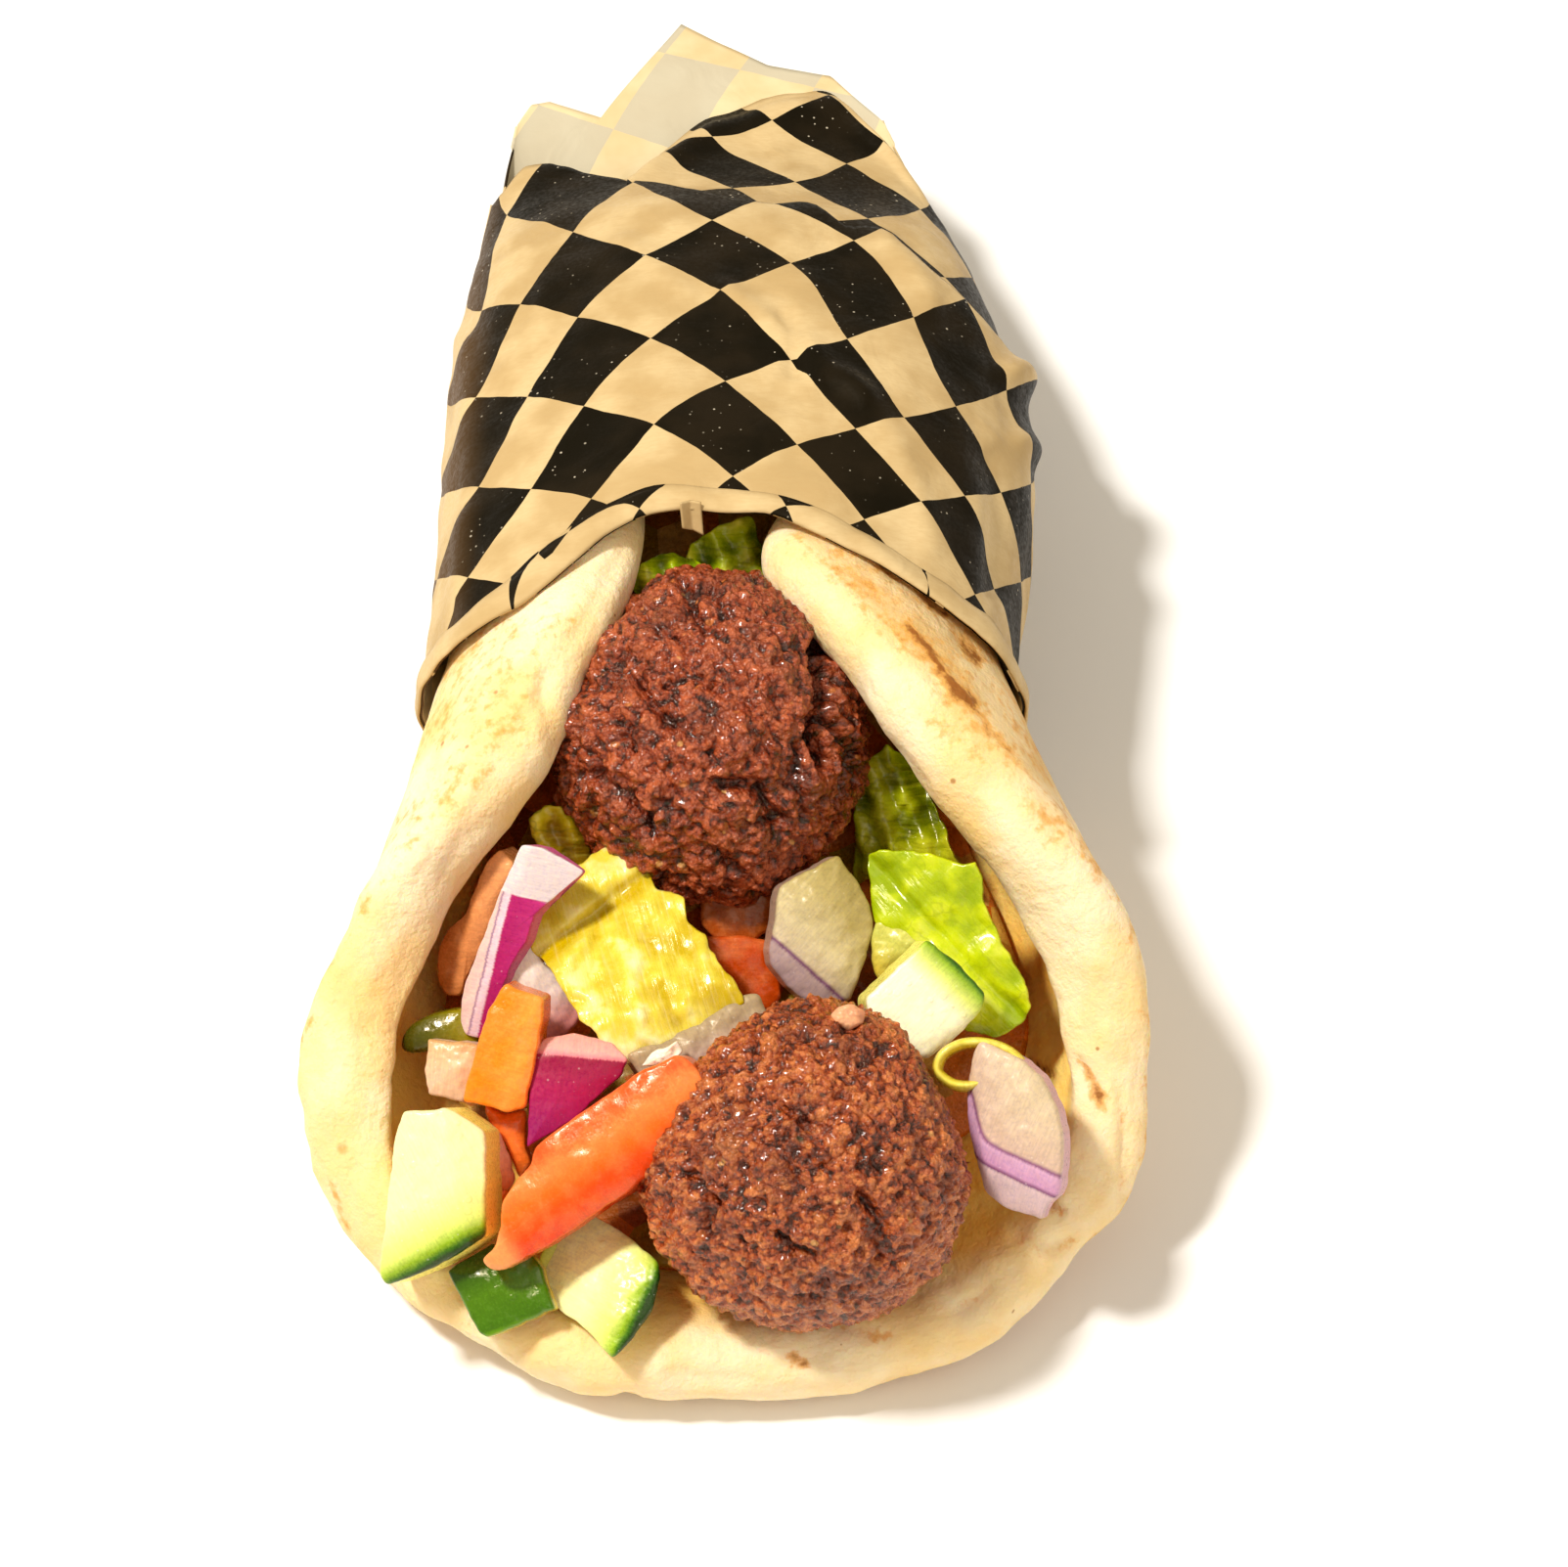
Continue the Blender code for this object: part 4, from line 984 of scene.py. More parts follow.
def band_places(flat, line):
    """Distances along and across a line's direction, measured from its first point."""
    way = (line[1] - line[0]) / np.hypot(*(line[1] - line[0]))
    return dot(flat - line[0], way), dot(flat - line[0], np.array((-way[1], way[0])))


def make_cut(piece, look, band=None, corner=None, bends=(), rounding=0.6, edge=0.5, crown=0.5, relief=0.25,
             relief_size=3.0, ragged=0.12, follow=False, waves=None, middle=None, around=220, rows=34):
    """Cut piece as rings: out over the top face, round its edge, down the side and in
    under the bottom. The top is crowned, bent down past each facet line, and roughened. A
    band line gives the direction of its colours, and a corner line takes over where its
    own distance is the larger, with the meeting eased."""
    seed = sum(map(ord, piece.node)) % 50 + 1
    rim = soft_outline(piece.outline, around, rounding, ragged, seed)
    centre = rim.mean(axis=0) if middle is None else piece.flat([middle])[0]
    mean = np.sqrt(np.mean(np.sum((rim - centre) ** 2, axis=1)))
    inset = edge / mean
    round_turn = np.radians(np.linspace(15, 90, ROUND_RINGS))
    scale = np.concatenate((np.linspace(0.02, 1 - inset, rows), 1 - inset * (1 - np.sin(round_turn)),
                            np.ones(WALL_RINGS), 1 - inset * (1 - np.cos(round_turn)), UNDER_SCALES))
    drop = np.concatenate((np.zeros(rows), edge * (1 - np.cos(round_turn)),
                           np.linspace(edge + 0.1, piece.thick - edge, WALL_RINGS),
                           piece.thick - edge * (1 - np.sin(round_turn)),
                           np.full(len(UNDER_SCALES), piece.thick)))
    scale, drop = scale[:, None], drop[:, None]
    flat = centre + scale[..., None] * (rim - centre)[None]
    height = crown * (1 - scale**2.5) + relief * rough_sum(with_third(flat, seed * 2.3), relief_size, seed)
    for line, slope, ease in bends:
        past = side_of(flat, piece.flat(line))
        height = height - slope * (np.sqrt(past**2 + ease**2) + past) / 2
    lift = np.zeros(flat.shape[:2])
    if waves is not None:
        lift = waves(piece, flat, seed)
        height = height + lift
    keep = 1.0 if follow else np.clip(1 - drop / piece.thick, 0, 1)
    height = height * keep - drop
    points = piece.world(flat, height)
    line = piece.flat(band) if band is not None else np.array((centre, centre + (1.0, 0.0)))
    along, cross = band_places(flat, line)
    if corner is not None:
        second, _ = band_places(flat, piece.flat(corner))
        along = (along + second + np.sqrt((along - second) ** 2 + CORNER_EASE)) / 2
    cut = np.stack((along, cross, np.broadcast_to(drop, along.shape)), axis=-1)
    points[..., 2] = np.maximum(points[..., 2], CUT_GAP)
    # Painted light and shade for leaves: raised parts paler, sunken parts deeper.
    shade = np.clip(0.5 + lift * 0.35, 0, 1)
    marks = {"cut": cut, "lift": shade}
    ends = {"cut": [cut[0].mean(axis=0), cut[-1].mean(axis=0)], "lift": [shade[0].mean(), 0.5]}
    first = points[0].mean(axis=0)
    last = points[-1].mean(axis=0)
    obj = closed_rings(piece.node + "_cut", points, first, last, marks, ends)
    return finish_piece(obj, look, piece.slot, piece.node)


WHITE_ONION = tone(236, 222, 206)
MAGENTA = tone(172, 14, 98)
PURPLE_LINE = tone(112, 62, 104)


def make_onions():
    """Ten pieces of red onion, with the purple lines between their layers."""
    strip = Cut("onion_strip", "onion", (-29.4, -71.6, 40.0), (38, -24), 4.4,
                ((533, 864), (550, 867), (570, 881), (585, 891), (561, 914), (540, 936), (533, 962),
                 (519, 985), (508, 1015), (490, 1063), (475, 1058), (470, 1046), (473, 1012), (490, 969),
                 (510, 914), (523, 885)))
    look = cut_look("red onion strip", ((-1.0, tone(214, 176, 166)), (1.2, tone(226, 190, 182)),
                    (1.5, tone(148, 112, 138)), (1.8, tone(224, 190, 198)), (2.6, tone(228, 196, 206)),
                    (2.9, MAGENTA), (9.0, tone(206, 50, 136))), "onion", 0.1, 0.7,
                    cap=(8.5, tone(222, 206, 206), 0.3), side=tone(200, 90, 140))
    make_cut(strip, look, band=((490, 969), (499.5, 972.2)), bends=((((478, 1060), (538, 880)), 0.5, 0.4),),
             rounding=0.3, edge=0.3, crown=0.1, relief=0.15)

    pale = Cut("onion_pale", "onion", (-26.2, -73.8, 32.6), (38, 6), 4.0,
               ((533, 956), (519, 968), (506, 995), (498, 1024), (528, 1052), (556, 1064), (580, 1058),
                (596, 1040), (580, 1005), (556, 985), (548, 966)))
    look = cut_look("pale onion", ((0.0, WHITE_ONION), (8.0, tone(228, 206, 196)),
                    (12.0, tone(220, 146, 138)), (16.0, tone(214, 110, 110))), "onion", 0.5, 0.6,
                    side=tone(226, 190, 180))
    make_cut(pale, look, band=((530, 965), (552, 1010)), crown=0.8, relief=0.3)

    magenta = Cut("onion_magenta", "onion", (-20.8, -91.2, 34.5), (34, 0), 4.0,
                  ((539, 1173), (541, 1130), (544, 1078), (556, 1062), (585, 1056), (625, 1066), (642, 1083),
                   (634, 1100), (584, 1146)))
    look = cut_look("red onion skin", ((-4.0, tone(240, 150, 130)), (-0.8, tone(232, 170, 160)),
                    (-0.1, tone(226, 130, 140)), (0.15, tone(148, 6, 62)), (5.0, tone(168, 12, 84)),
                    (10.0, tone(150, 14, 96))), "onion", 0.15, 0.7, side=tone(226, 160, 180))
    make_cut(magenta, look, band=((592, 1081), (591, 1091)), bends=((((640, 1081), (546, 1078)), 0.5, 0.3),),
             rounding=0.25, edge=0.25, crown=0.6, relief=0.12)

    block = Cut("onion_block", "onion", (-37.5, -86.0, 30.0), (36, -10), 5.0,
                ((437, 1062), (490, 1067), (492, 1092), (474, 1127), (455, 1122), (437, 1119), (433, 1092)))
    look = cut_look("beige onion", ((0.0, tone(198, 152, 96)), (2.0, tone(222, 182, 140)),
                    (8.0, tone(220, 180, 156))), "onion", 0.4, 0.4, side=tone(226, 188, 160))
    make_cut(block, look, band=((462, 1064), (458, 1095)), rounding=0.35, crown=0.7, relief=0.3, ragged=0.2)

    low = Cut("onion_low", "onion", (-31.2, -98.2, 25.6), (36, 4), 4.0,
              ((480, 1147), (497, 1147), (511, 1156), (520, 1180), (528, 1206), (519, 1218), (486, 1217),
               (478, 1198)))
    look = cut_look("clear pink onion", ((0.0, tone(226, 176, 160)), (6.0, tone(236, 160, 128)),
                    (9.0, tone(222, 110, 60))), "onion", 0.5, 0.5)
    make_cut(low, look, band=((500, 1150), (505, 1190)), crown=0.8)

    middle = Cut("onion_middle", "onion", (-0.5, -83.9, 34.0), (30, 8), 5.0,
                 ((640, 1078), (700, 1052), (762, 1016), (776, 1015), (786, 1038), (788, 1058), (780, 1071),
                  (750, 1086), (718, 1101), (690, 1112), (655, 1100)))
    look = cut_look("grey onion", ((-8.0, tone(150, 132, 76)), (0.0, tone(176, 152, 118)),
                    (3.0, tone(196, 166, 152)), (6.2, tone(186, 150, 160)), (6.9, tone(112, 60, 70)),
                    (8.0, tone(150, 104, 110))), "onion", 0.4, 0.5, side=tone(150, 104, 96))
    make_cut(middle, look, band=((730, 1052), (749, 1092)), crown=1.0, relief=0.35)

    back = Cut("onion_back_right", "onion", (14.1, -67.0, 36.0), (36, 10), 6.5,
               ((857, 874), (879, 904), (891, 928), (894, 953), (884, 985), (872, 1021), (858, 1027),
                (825, 1024), (807, 1008), (787, 983), (790, 958), (794, 931), (797, 906), (832, 888)))
    # The lightest band, some 4 mm before the layer line, is a painted highlight.
    look = cut_look("onion with one layer line", ((-16.0, tone(152, 134, 66)),
                    (-9.0, tone(182, 164, 104)), (-4.0, tone(204, 188, 144)), (-0.5, tone(196, 178, 146)),
                    (0.0, PURPLE_LINE), (0.45, tone(184, 158, 156)), (8.0, tone(170, 138, 140))), "onion",
                    0.35, 0.4, side=tone(170, 140, 120))
    make_cut(back, look, band=((825, 990), (818.5, 997.6)),
             bends=((((790, 960), (861, 1020)), 0.35, 0.3), (((872, 1018), (896, 940)), 0.9, 0.3)),
             rounding=0.5, crown=1.3, relief=0.3, ragged=0.15)

    front = Cut("onion_front_right", "onion", (39.5, -98.3, 34.0), (36, -18), 5.0,
                ((1001, 1063), (1011, 1068), (1046, 1086), (1064, 1101), (1081, 1138), (1086, 1163),
                 (1086, 1193), (1081, 1221), (1067, 1233), (1061, 1248), (1046, 1242), (1026, 1238),
                 (1001, 1219), (994, 1190), (985, 1147), (986, 1113), (994, 1078)))
    look = cut_look("onion with two layer lines", ((-14.0, tone(190, 170, 130)),
                    (-8.0, tone(214, 192, 158)), (-0.6, tone(208, 178, 158)), (-0.1, tone(138, 84, 122)),
                    (0.35, tone(214, 168, 198)), (2.4, tone(206, 152, 190)), (2.9, tone(132, 74, 118)),
                    (3.3, tone(214, 186, 190)), (9.0, tone(190, 160, 158))), "onion", 0.3, 0.3,
                    side=tone(206, 160, 176))
    make_cut(front, look, band=((1026, 1176), (1022, 1185.2)), corner=((998, 1140), (988, 1143)),
             bends=((((994, 1085), (1004, 1165)), 0.8, 0.4), (((1000, 1168), (1086, 1203)), 0.35, 0.4)),
             rounding=0.5, crown=1.2, relief=0.25, ragged=0.14)

    for node, place, lean, thick, outline, name, shades, edge, crown in (
            ("onion_chip", (-8.4, -88.4, 37.6), (36, 0), 1.8,
             ((655, 1090), (664, 1078), (680, 1072), (693, 1063), (698, 1074), (690, 1084), (675, 1090)),
             "clear onion chip", (tone(248, 236, 214), tone(236, 216, 190)), 0.3, 0.4),
            ("onion_chip_front", (17.2, -90.4, 49.0), (30, 4), 2.0,
             ((850, 1036), (858, 1028), (872, 1026), (884, 1034), (882, 1046), (868, 1054), (854, 1048)),
             "clear pink chip", (tone(226, 166, 124), tone(198, 110, 76)), 0.4, 0.6)):
        look = cut_look(name, ((0.0, shades[0]), (4.0, shades[1])), "onion", 0.4, 0.4)
        make_cut(Cut(node, "onion", place, lean, thick, outline), look, rounding=0.25, edge=edge, crown=crown,
                 relief=0.4, relief_size=1.4, ragged=0.25, around=90, rows=14)


def make_tomatoes():
    """Eight pieces of tomato: the long strip, the wedge and six bits of flesh."""
    strip = Cut("tomato_strip", "tomato", (-16.0, -104.8, 36.0), (34, -8), 8.0,
                ((690, 1078), (702, 1082), (727, 1112), (736, 1132), (735, 1150), (716, 1166), (690, 1186),
                 (662, 1200), (635, 1222), (606, 1241), (574, 1264), (535, 1286), (512, 1300), (497, 1299),
                 (489, 1288), (503, 1278), (511, 1254), (511, 1231), (526, 1208), (543, 1190), (546, 1172),
                 (584, 1144), (622, 1118), (656, 1094), (676, 1086)))
    look = cut_look("ripe tomato strip", ((-7.0, tone(250, 84, 14)), (-4.5, tone(244, 92, 40)),
                    (-2.0, tone(250, 128, 60)), (0.5, tone(252, 104, 20)), (3.0, tone(250, 76, 2)),
                    (7.0, tone(236, 58, 0))), "tomato", 2.2, 0.8, cap=(-15.5, tone(250, 156, 90), 3.0))
    make_cut(strip, look, band=((612, 1180), (624, 1200)), bends=((((520, 1265), (735, 1120)), 0.5, 1.2),),
             rounding=0.6, edge=0.7, crown=1.0, relief=0.3, relief_size=4.5, ragged=0.1,
             middle=(615, 1186), around=300)

    wedge = Cut("tomato_wedge", "tomato", (-29.8, -87.7, 38.0), (40, -6), 7.0,
                ((516, 1005), (536, 1014), (557, 1021), (551, 1064), (545, 1092), (537, 1133), (517, 1139),
                 (502, 1132), (472, 1126), (484, 1080), (498, 1034)))
    look = cut_look("orange tomato wedge", ((0.0, tone(252, 128, 8)), (4.0, tone(252, 136, 16)),
                    (6.5, tone(254, 160, 62)), (8.5, tone(252, 140, 36))), "tomato", 1.2, 0.4,
                    side=tone(230, 110, 20))
    make_cut(wedge, look, band=((486, 1060), (545, 1078)), rounding=0.45, edge=0.5, crown=0.7, relief=0.2)

    for node, place, lean, thick, outline, shades in (
            ("tomato_left", (-35.6, -64.7, 33.0), (44, -16), 6.0,
             ((511, 868), (526, 884), (512, 914), (492, 969), (474, 1005), (470, 1020), (456, 1018),
              (446, 1003), (447, 972), (457, 950), (475, 935), (487, 903), (500, 877)),
             (tone(190, 96, 20), tone(236, 170, 112))),
            ("tomato_back", (2.0, -58.3, 29.6), (34, 0), 6.0,
             ((716, 912), (740, 905), (790, 904), (796, 930), (790, 950), (768, 962), (735, 962), (716, 945)),
             (tone(150, 60, 4), tone(176, 84, 12))),
            ("tomato_middle", (3.4, -67.5, 27.4), (36, 4), 6.0,
             ((722, 958), (760, 956), (786, 962), (797, 990), (799, 1020), (786, 1034), (764, 1026),
              (748, 1004), (728, 985)), (tone(176, 60, 4), tone(214, 76, 8))),
            ("tomato_red_bit", (-13.2, -99.6, 24.0), (34, 0), 4.5,
             ((620, 1205), (640, 1190), (660, 1196), (656, 1214), (636, 1226), (622, 1224)),
             (tone(230, 60, 14), tone(240, 80, 20))),
            ("tomato_left_bit", (-29.2, -93.6, 26.2), (38, 0), 4.5,
             ((496, 1128), (516, 1139), (538, 1134), (537, 1172), (544, 1190), (531, 1206), (516, 1168),
              (496, 1142)), (tone(226, 92, 14), tone(250, 120, 20))),
            ("tomato_low_bit", (-31.0, -104.4, 20.6), (36, 0), 4.0,
             ((486, 1216), (521, 1214), (515, 1232), (513, 1259), (488, 1268)),
             (tone(238, 96, 18), tone(248, 112, 26)))):
        piece = Cut(node, "tomato", place, lean, thick, outline)
        look = cut_look(node.replace("_", " ") + " flesh", ((-6.0, shades[0]), (6.0, shades[1])),
                        "tomato", 3.0, 0.8)
        make_cut(piece, look, rounding=0.5, edge=0.5, crown=0.6, relief=0.2, relief_size=3.2,
                 around=150, rows=24)


def skin_stops(flesh, far):
    """Cucumber from its dark skin at 0 to the flesh."""
    return ((0.0, tone(22, 62, 8)), (0.55, tone(60, 112, 10)), (1.3, tone(150, 186, 34)),
            (2.8, tone(222, 234, 116)), (far * 0.6, flesh), (far, flesh))


def make_cucumbers():
    """Four pieces of cucumber, a piece of green pepper and a slice of gherkin."""
    left = Cut("cucumber_left", "cucumber", (-39.4, -106.6, 29.0), (34, -14), 10.0,
               ((411, 1135), (442, 1136), (453, 1132), (470, 1142), (489, 1157), (491, 1194), (491, 1264),
                (458, 1287), (421, 1304), (391, 1315), (387, 1302), (396, 1223), (404, 1156)))
    look = cut_look("cucumber spear", skin_stops(tone(246, 243, 178), 14.0), "cucumber", 0.7, 0.3,
                    side=tone(255, 246, 120))
    make_cut(left, look, band=((441, 1291), (420, 1250)), bends=((((475, 1278), (452, 1132)), 0.5, 0.5),
             (((391, 1302), (491, 1252)), 0.6, 0.8)), rounding=0.5, edge=0.5, crown=0.6, relief=0.2)

    low = Cut("cucumber_low", "cucumber", (-15.8, -116.0, 22.0), (34, 6), 9.0,
              ((606, 1242), (640, 1262), (674, 1290), (676, 1305), (668, 1340), (640, 1378), (626, 1391),
               (612, 1372), (592, 1354), (574, 1342), (563, 1318), (554, 1288), (572, 1264)))
    look = cut_look("cucumber corner", skin_stops(tone(248, 246, 176), 12.0), "cucumber", 0.8, 0.3,
                    side=tone(200, 200, 60))
    make_cut(low, look, band=((653, 1346), (643, 1341)), bends=((((678, 1300), (628, 1384)), 0.7, 0.8),),
             rounding=0.6, edge=0.7, crown=1.6, relief=0.3)

    right = Cut("cucumber_right", "cucumber", (27.9, -79.6, 39.0), (36, 8), 9.0,
                ((948, 960), (980, 985), (1008, 1016), (1006, 1030), (990, 1050), (972, 1067), (947, 1084),
                 (927, 1075), (908, 1058), (890, 1040), (886, 1022), (903, 1004), (925, 984)))
    look = cut_look("cucumber cube", skin_stops(tone(255, 252, 214), 9.0), "cucumber", 0.4, 0.2,
                    side=tone(240, 234, 120))
    make_cut(right, look, band=((981, 986), (974, 993)), bends=((((888, 1034), (945, 1078)), 0.9, 0.5),
             (((948, 1076), (1006, 1024)), 0.6, 0.5)), rounding=0.5, edge=0.5, crown=0.5, relief=0.15)

    back = Cut("cucumber_back", "cucumber", (24.0, -68.2, 33.6), (34, -6), 7.0,
               ((897, 936), (932, 940), (952, 960), (938, 975), (900, 1006), (893, 992), (889, 962)))
    look = cut_look("clear cucumber", ((-6.0, tone(214, 210, 110)), (0.0, tone(196, 196, 90)),
                    (6.0, tone(206, 176, 50))), "cucumber", 0.8, 0.3)
    make_cut(back, look, band=((915, 965), (902, 985)), crown=1.0, relief=0.35)

    pepper = Cut("pepper", "pepper", (-30.4, -114.6, 18.5), (30, -10), 3.0,
                 ((457, 1299), (480, 1285), (503, 1271), (540, 1280), (553, 1296), (558, 1315), (567, 1338),
                  (530, 1354), (497, 1368), (490, 1364), (470, 1327)))
    look = cut_look("green pepper", ((-1.0, tone(196, 190, 40)), (-0.2, tone(96, 150, 10)),
                    (0.4, tone(62, 112, 0)), (5.0, tone(72, 120, 0)), (10.0, tone(22, 62, 0))), "pepper",
                    0.9, 0.6, side=tone(206, 190, 60))
    make_cut(pepper, look, band=((530, 1352), (520, 1324)), rounding=0.3, edge=0.4, crown=0.9, relief=0.35,
             relief_size=4.0)

    gherkin = Cut("gherkin", "pickle", (-40.3, -77.9, 29.0), (42, -8), 3.4,
                  ((474, 1031), (438, 1037), (416, 1051), (409, 1066), (411, 1076), (432, 1077), (492, 1068),
                   (490, 1048)))
    look = cut_look("pickled gherkin", ((0.0, tone(50, 52, 4)), (4.5, tone(84, 84, 4)),
                    (9.0, tone(136, 128, 8))), "pickle", 0.8, 0.4)
    make_cut(gherkin, look, band=((412, 1060), (480, 1048)), crown=1.3, relief=0.2)


# Lettuce
def heart_waves(piece, flat, seed):
    """A folded heart leaf: ribs run down the main face, which falls away under a crease
    from the small face at the upper left."""
    crease = side_of(flat, piece.flat(((672, 893), (548, 985))))
    ribs = side_of(flat, piece.flat(((640, 900), (690, 1060))))
    spot = np.stack((flat[..., 0] * 0.3, flat[..., 1] * 0.3, 0 * crease + seed), axis=-1)
    wave = 0.3 * np.sin(ribs * 0.8 + 3.6 * rough(spot, 1.2, seed)) * step(crease, 1.0, -3.0)
    fold = -1.6 * np.exp(-(crease / 1.3) ** 2)
    return wave + fold + 0.75 * rough_sum(with_third(flat, 4.2), 6.5, 3)


def lime_waves(piece, flat, seed):
    """Blistered leaf: bubbles between the veins, and a midrib groove."""
    rib = side_of(flat, piece.flat(((898, 890), (1018, 1015))))
    solid = with_third(flat, 1.7)
    groove = 0.7 * np.exp(-(rib / 0.9) ** 2)
    return 0.6 * crumbs(solid, 6.2, 6) + 1.2 * rough_sum(solid, 9.0, 2) - groove - 0.6


def plain_waves(piece, flat, seed):
    """Loose crumpled leaf: rough values in layers, with a shallow sine across them."""
    crumple = 1.3 * rough_sum(with_third(flat, seed * 1.3), 5.0, seed)
    return crumple + 0.5 * np.sin(flat[..., 0] * 1.4 + flat[..., 1] * 0.5)


def make_lettuce():
    """Seven leaves of lettuce."""
    heart = Cut("lettuce_heart", "lettuce", (-12.8, -75.4, 42.0), (40, 2), 1.6,
                ((526, 942), (548, 920), (585, 892), (620, 870), (638, 865), (653, 879), (665, 896),
                 (672, 915), (700, 921), (703, 945), (722, 960), (729, 976), (749, 1001), (763, 1026),
                 (730, 1046), (698, 1062), (656, 1083), (638, 1089), (613, 1063), (596, 1046),
                 (578, 1023), (564, 997), (545, 980), (531, 955)))
    look = leaf_look("heart lettuce", tone(250, 244, 186), tone(230, 213, 70), tone(198, 172, 0),
                     tone(206, 196, 60), 7.0, 0.2)
    make_cut(heart, look, band=((640, 900), (690, 1060)), rounding=0.3, edge=0.35, crown=0.2, relief=0.1,
             ragged=0.3, follow=True, waves=heart_waves, around=340, rows=70, middle=(640, 975),
             bends=((((762, 1010), (608, 1046)), 0.7, 0.8),))

    lime = Cut("lettuce_lime", "lettuce", (31.0, -68.7, 35.0), (42, -12), 1.0,
               ((885, 875), (905, 869), (925, 869), (950, 874), (985, 886), (997, 880), (1003, 900),
                (1005, 918), (1014, 945), (1028, 972), (1045, 998), (1054, 1030), (1043, 1049),
                (1017, 1062), (987, 1056), (962, 1030), (948, 990), (922, 962), (893, 942), (888, 915)))
    look = leaf_look("green leaf lettuce", tone(226, 232, 80), tone(196, 214, 8), tone(150, 176, 2),
                     tone(150, 168, 14), 4.2, 0.1)
    make_cut(lime, look, band=((898, 890), (1018, 1015)), rounding=0.35, edge=0.3, crown=0.3, relief=0.1,
             ragged=0.25, follow=True, waves=lime_waves, around=300, rows=60, middle=(968, 965))

    for node, place, lean, outline, shades in (
            ("lettuce_dark", (26.0, -43.8, 34.0), (46, -14),
             ((872, 905), (873, 830), (884, 780), (908, 760), (930, 780), (948, 815), (966, 845), (984, 885),
              (950, 892), (905, 890)), (tone(190, 196, 30), tone(146, 156, 2), tone(92, 104, 0))),
            ("lettuce_small", (-22.6, -51.6, 37.6), (42, 10),
             ((540, 838), (556, 824), (588, 826), (602, 850), (606, 880), (594, 890), (570, 884), (548, 862)),
             (tone(240, 232, 90), tone(206, 192, 20), tone(150, 120, 4))),
            ("lettuce_top_left", (-7.6, -15.4, 51.0), (40, 0),
             ((644, 592), (652, 578), (672, 568), (690, 564), (716, 574), (724, 586), (700, 606), (672, 622),
              (652, 614)), (tone(224, 232, 56), tone(170, 196, 6), tone(96, 124, 2))),
            ("lettuce_top_right", (2.2, -9.6, 51.5), (40, 8),
             ((706, 556), (735, 536), (768, 527), (776, 548), (788, 588), (770, 604), (735, 592), (700, 580)),
             (tone(232, 232, 70), tone(180, 200, 6), tone(96, 124, 2)))):
        piece = Cut(node, "lettuce", place, lean, 0.9, outline)
        look = leaf_look(node.replace("_", " ") + " leaf", *shades, tone(70, 84, 6), 4.6, 0.3)
        make_cut(piece, look, rounding=0.35, edge=0.3, crown=0.5, relief=0.1, ragged=0.25, follow=True,
                 waves=plain_waves, around=160, rows=36)

    curl_look = leaf_look("curled lettuce", tone(246, 232, 110), tone(228, 210, 40), tone(170, 140, 6),
                          tone(190, 170, 30), 5.0, 0.3)
    make_curl(curl_look)


def make_curl(look):
    """A strip of leaf standing on edge, curled into an oval and then running off to the
    right behind the onion: a path in the plane, with a thin upright oval as its section."""
    piece = Cut("lettuce_curl", "lettuce", (34.4, -90.4, 36.6), (30, -6), 4.0,
                ((960, 1080), (990, 1065), (1000, 1100)))
    route = piece.flat(((1052, 1094), (1030, 1074), (1004, 1066), (980, 1068), (962, 1080), (958, 1094),
                        (970, 1106), (990, 1110), (1004, 1106), (1012, 1098)))
    run = np.concatenate(((0.0,), np.cumsum(np.hypot(*np.diff(route, axis=0).T))))
    at = np.linspace(0, run[-1], 90)
    path = np.stack([smooth_row(at, run, route[:, k]) for k in (0, 1)], axis=1)
    way = np.gradient(path, axis=0)
    way = way / np.hypot(*way.T)[:, None]
    out = np.stack((-way[:, 1], way[:, 0]), axis=1)
    turn = np.linspace(0, 2 * np.pi, 26, endpoint=False)
    shrink = np.clip(np.sin(np.linspace(0.12, np.pi - 0.12, 90)) * 5, 0.2, 1)[:, None]
    across_part = 0.8 * np.cos(turn)[None] * shrink
    rise = 3.0 * np.sin(turn)[None] * shrink - 1.6
    flat = path[:, None] + out[:, None] * across_part[..., None]
    wave = 0.35 * rough(np.concatenate((flat, rise[..., None]), axis=-1), 2.2, 9)
    points = piece.world(flat, rise + wave)
    cut = np.stack((np.broadcast_to(at[:, None], rise.shape), rise, 0 * rise), axis=-1)
    # Painted light and shade: the curl paler above, deeper below.
    lift = np.clip(0.6 + 0.3 * rise, 0, 1)
    ends = {"cut": [cut[0].mean(axis=0), cut[-1].mean(axis=0)], "lift": [0.5, 0.5]}
    obj = closed_rings("lettuce_curl_strip", points, points[0].mean(axis=0), points[-1].mean(axis=0),
                       {"cut": cut, "lift": lift}, ends)
    finish_piece(obj, look, "lettuce", "lettuce_curl")


# Salad core
DOME = 5.0
BED_RINGS = 120
BED_AROUND = 160
WALL_GAP = 1.1


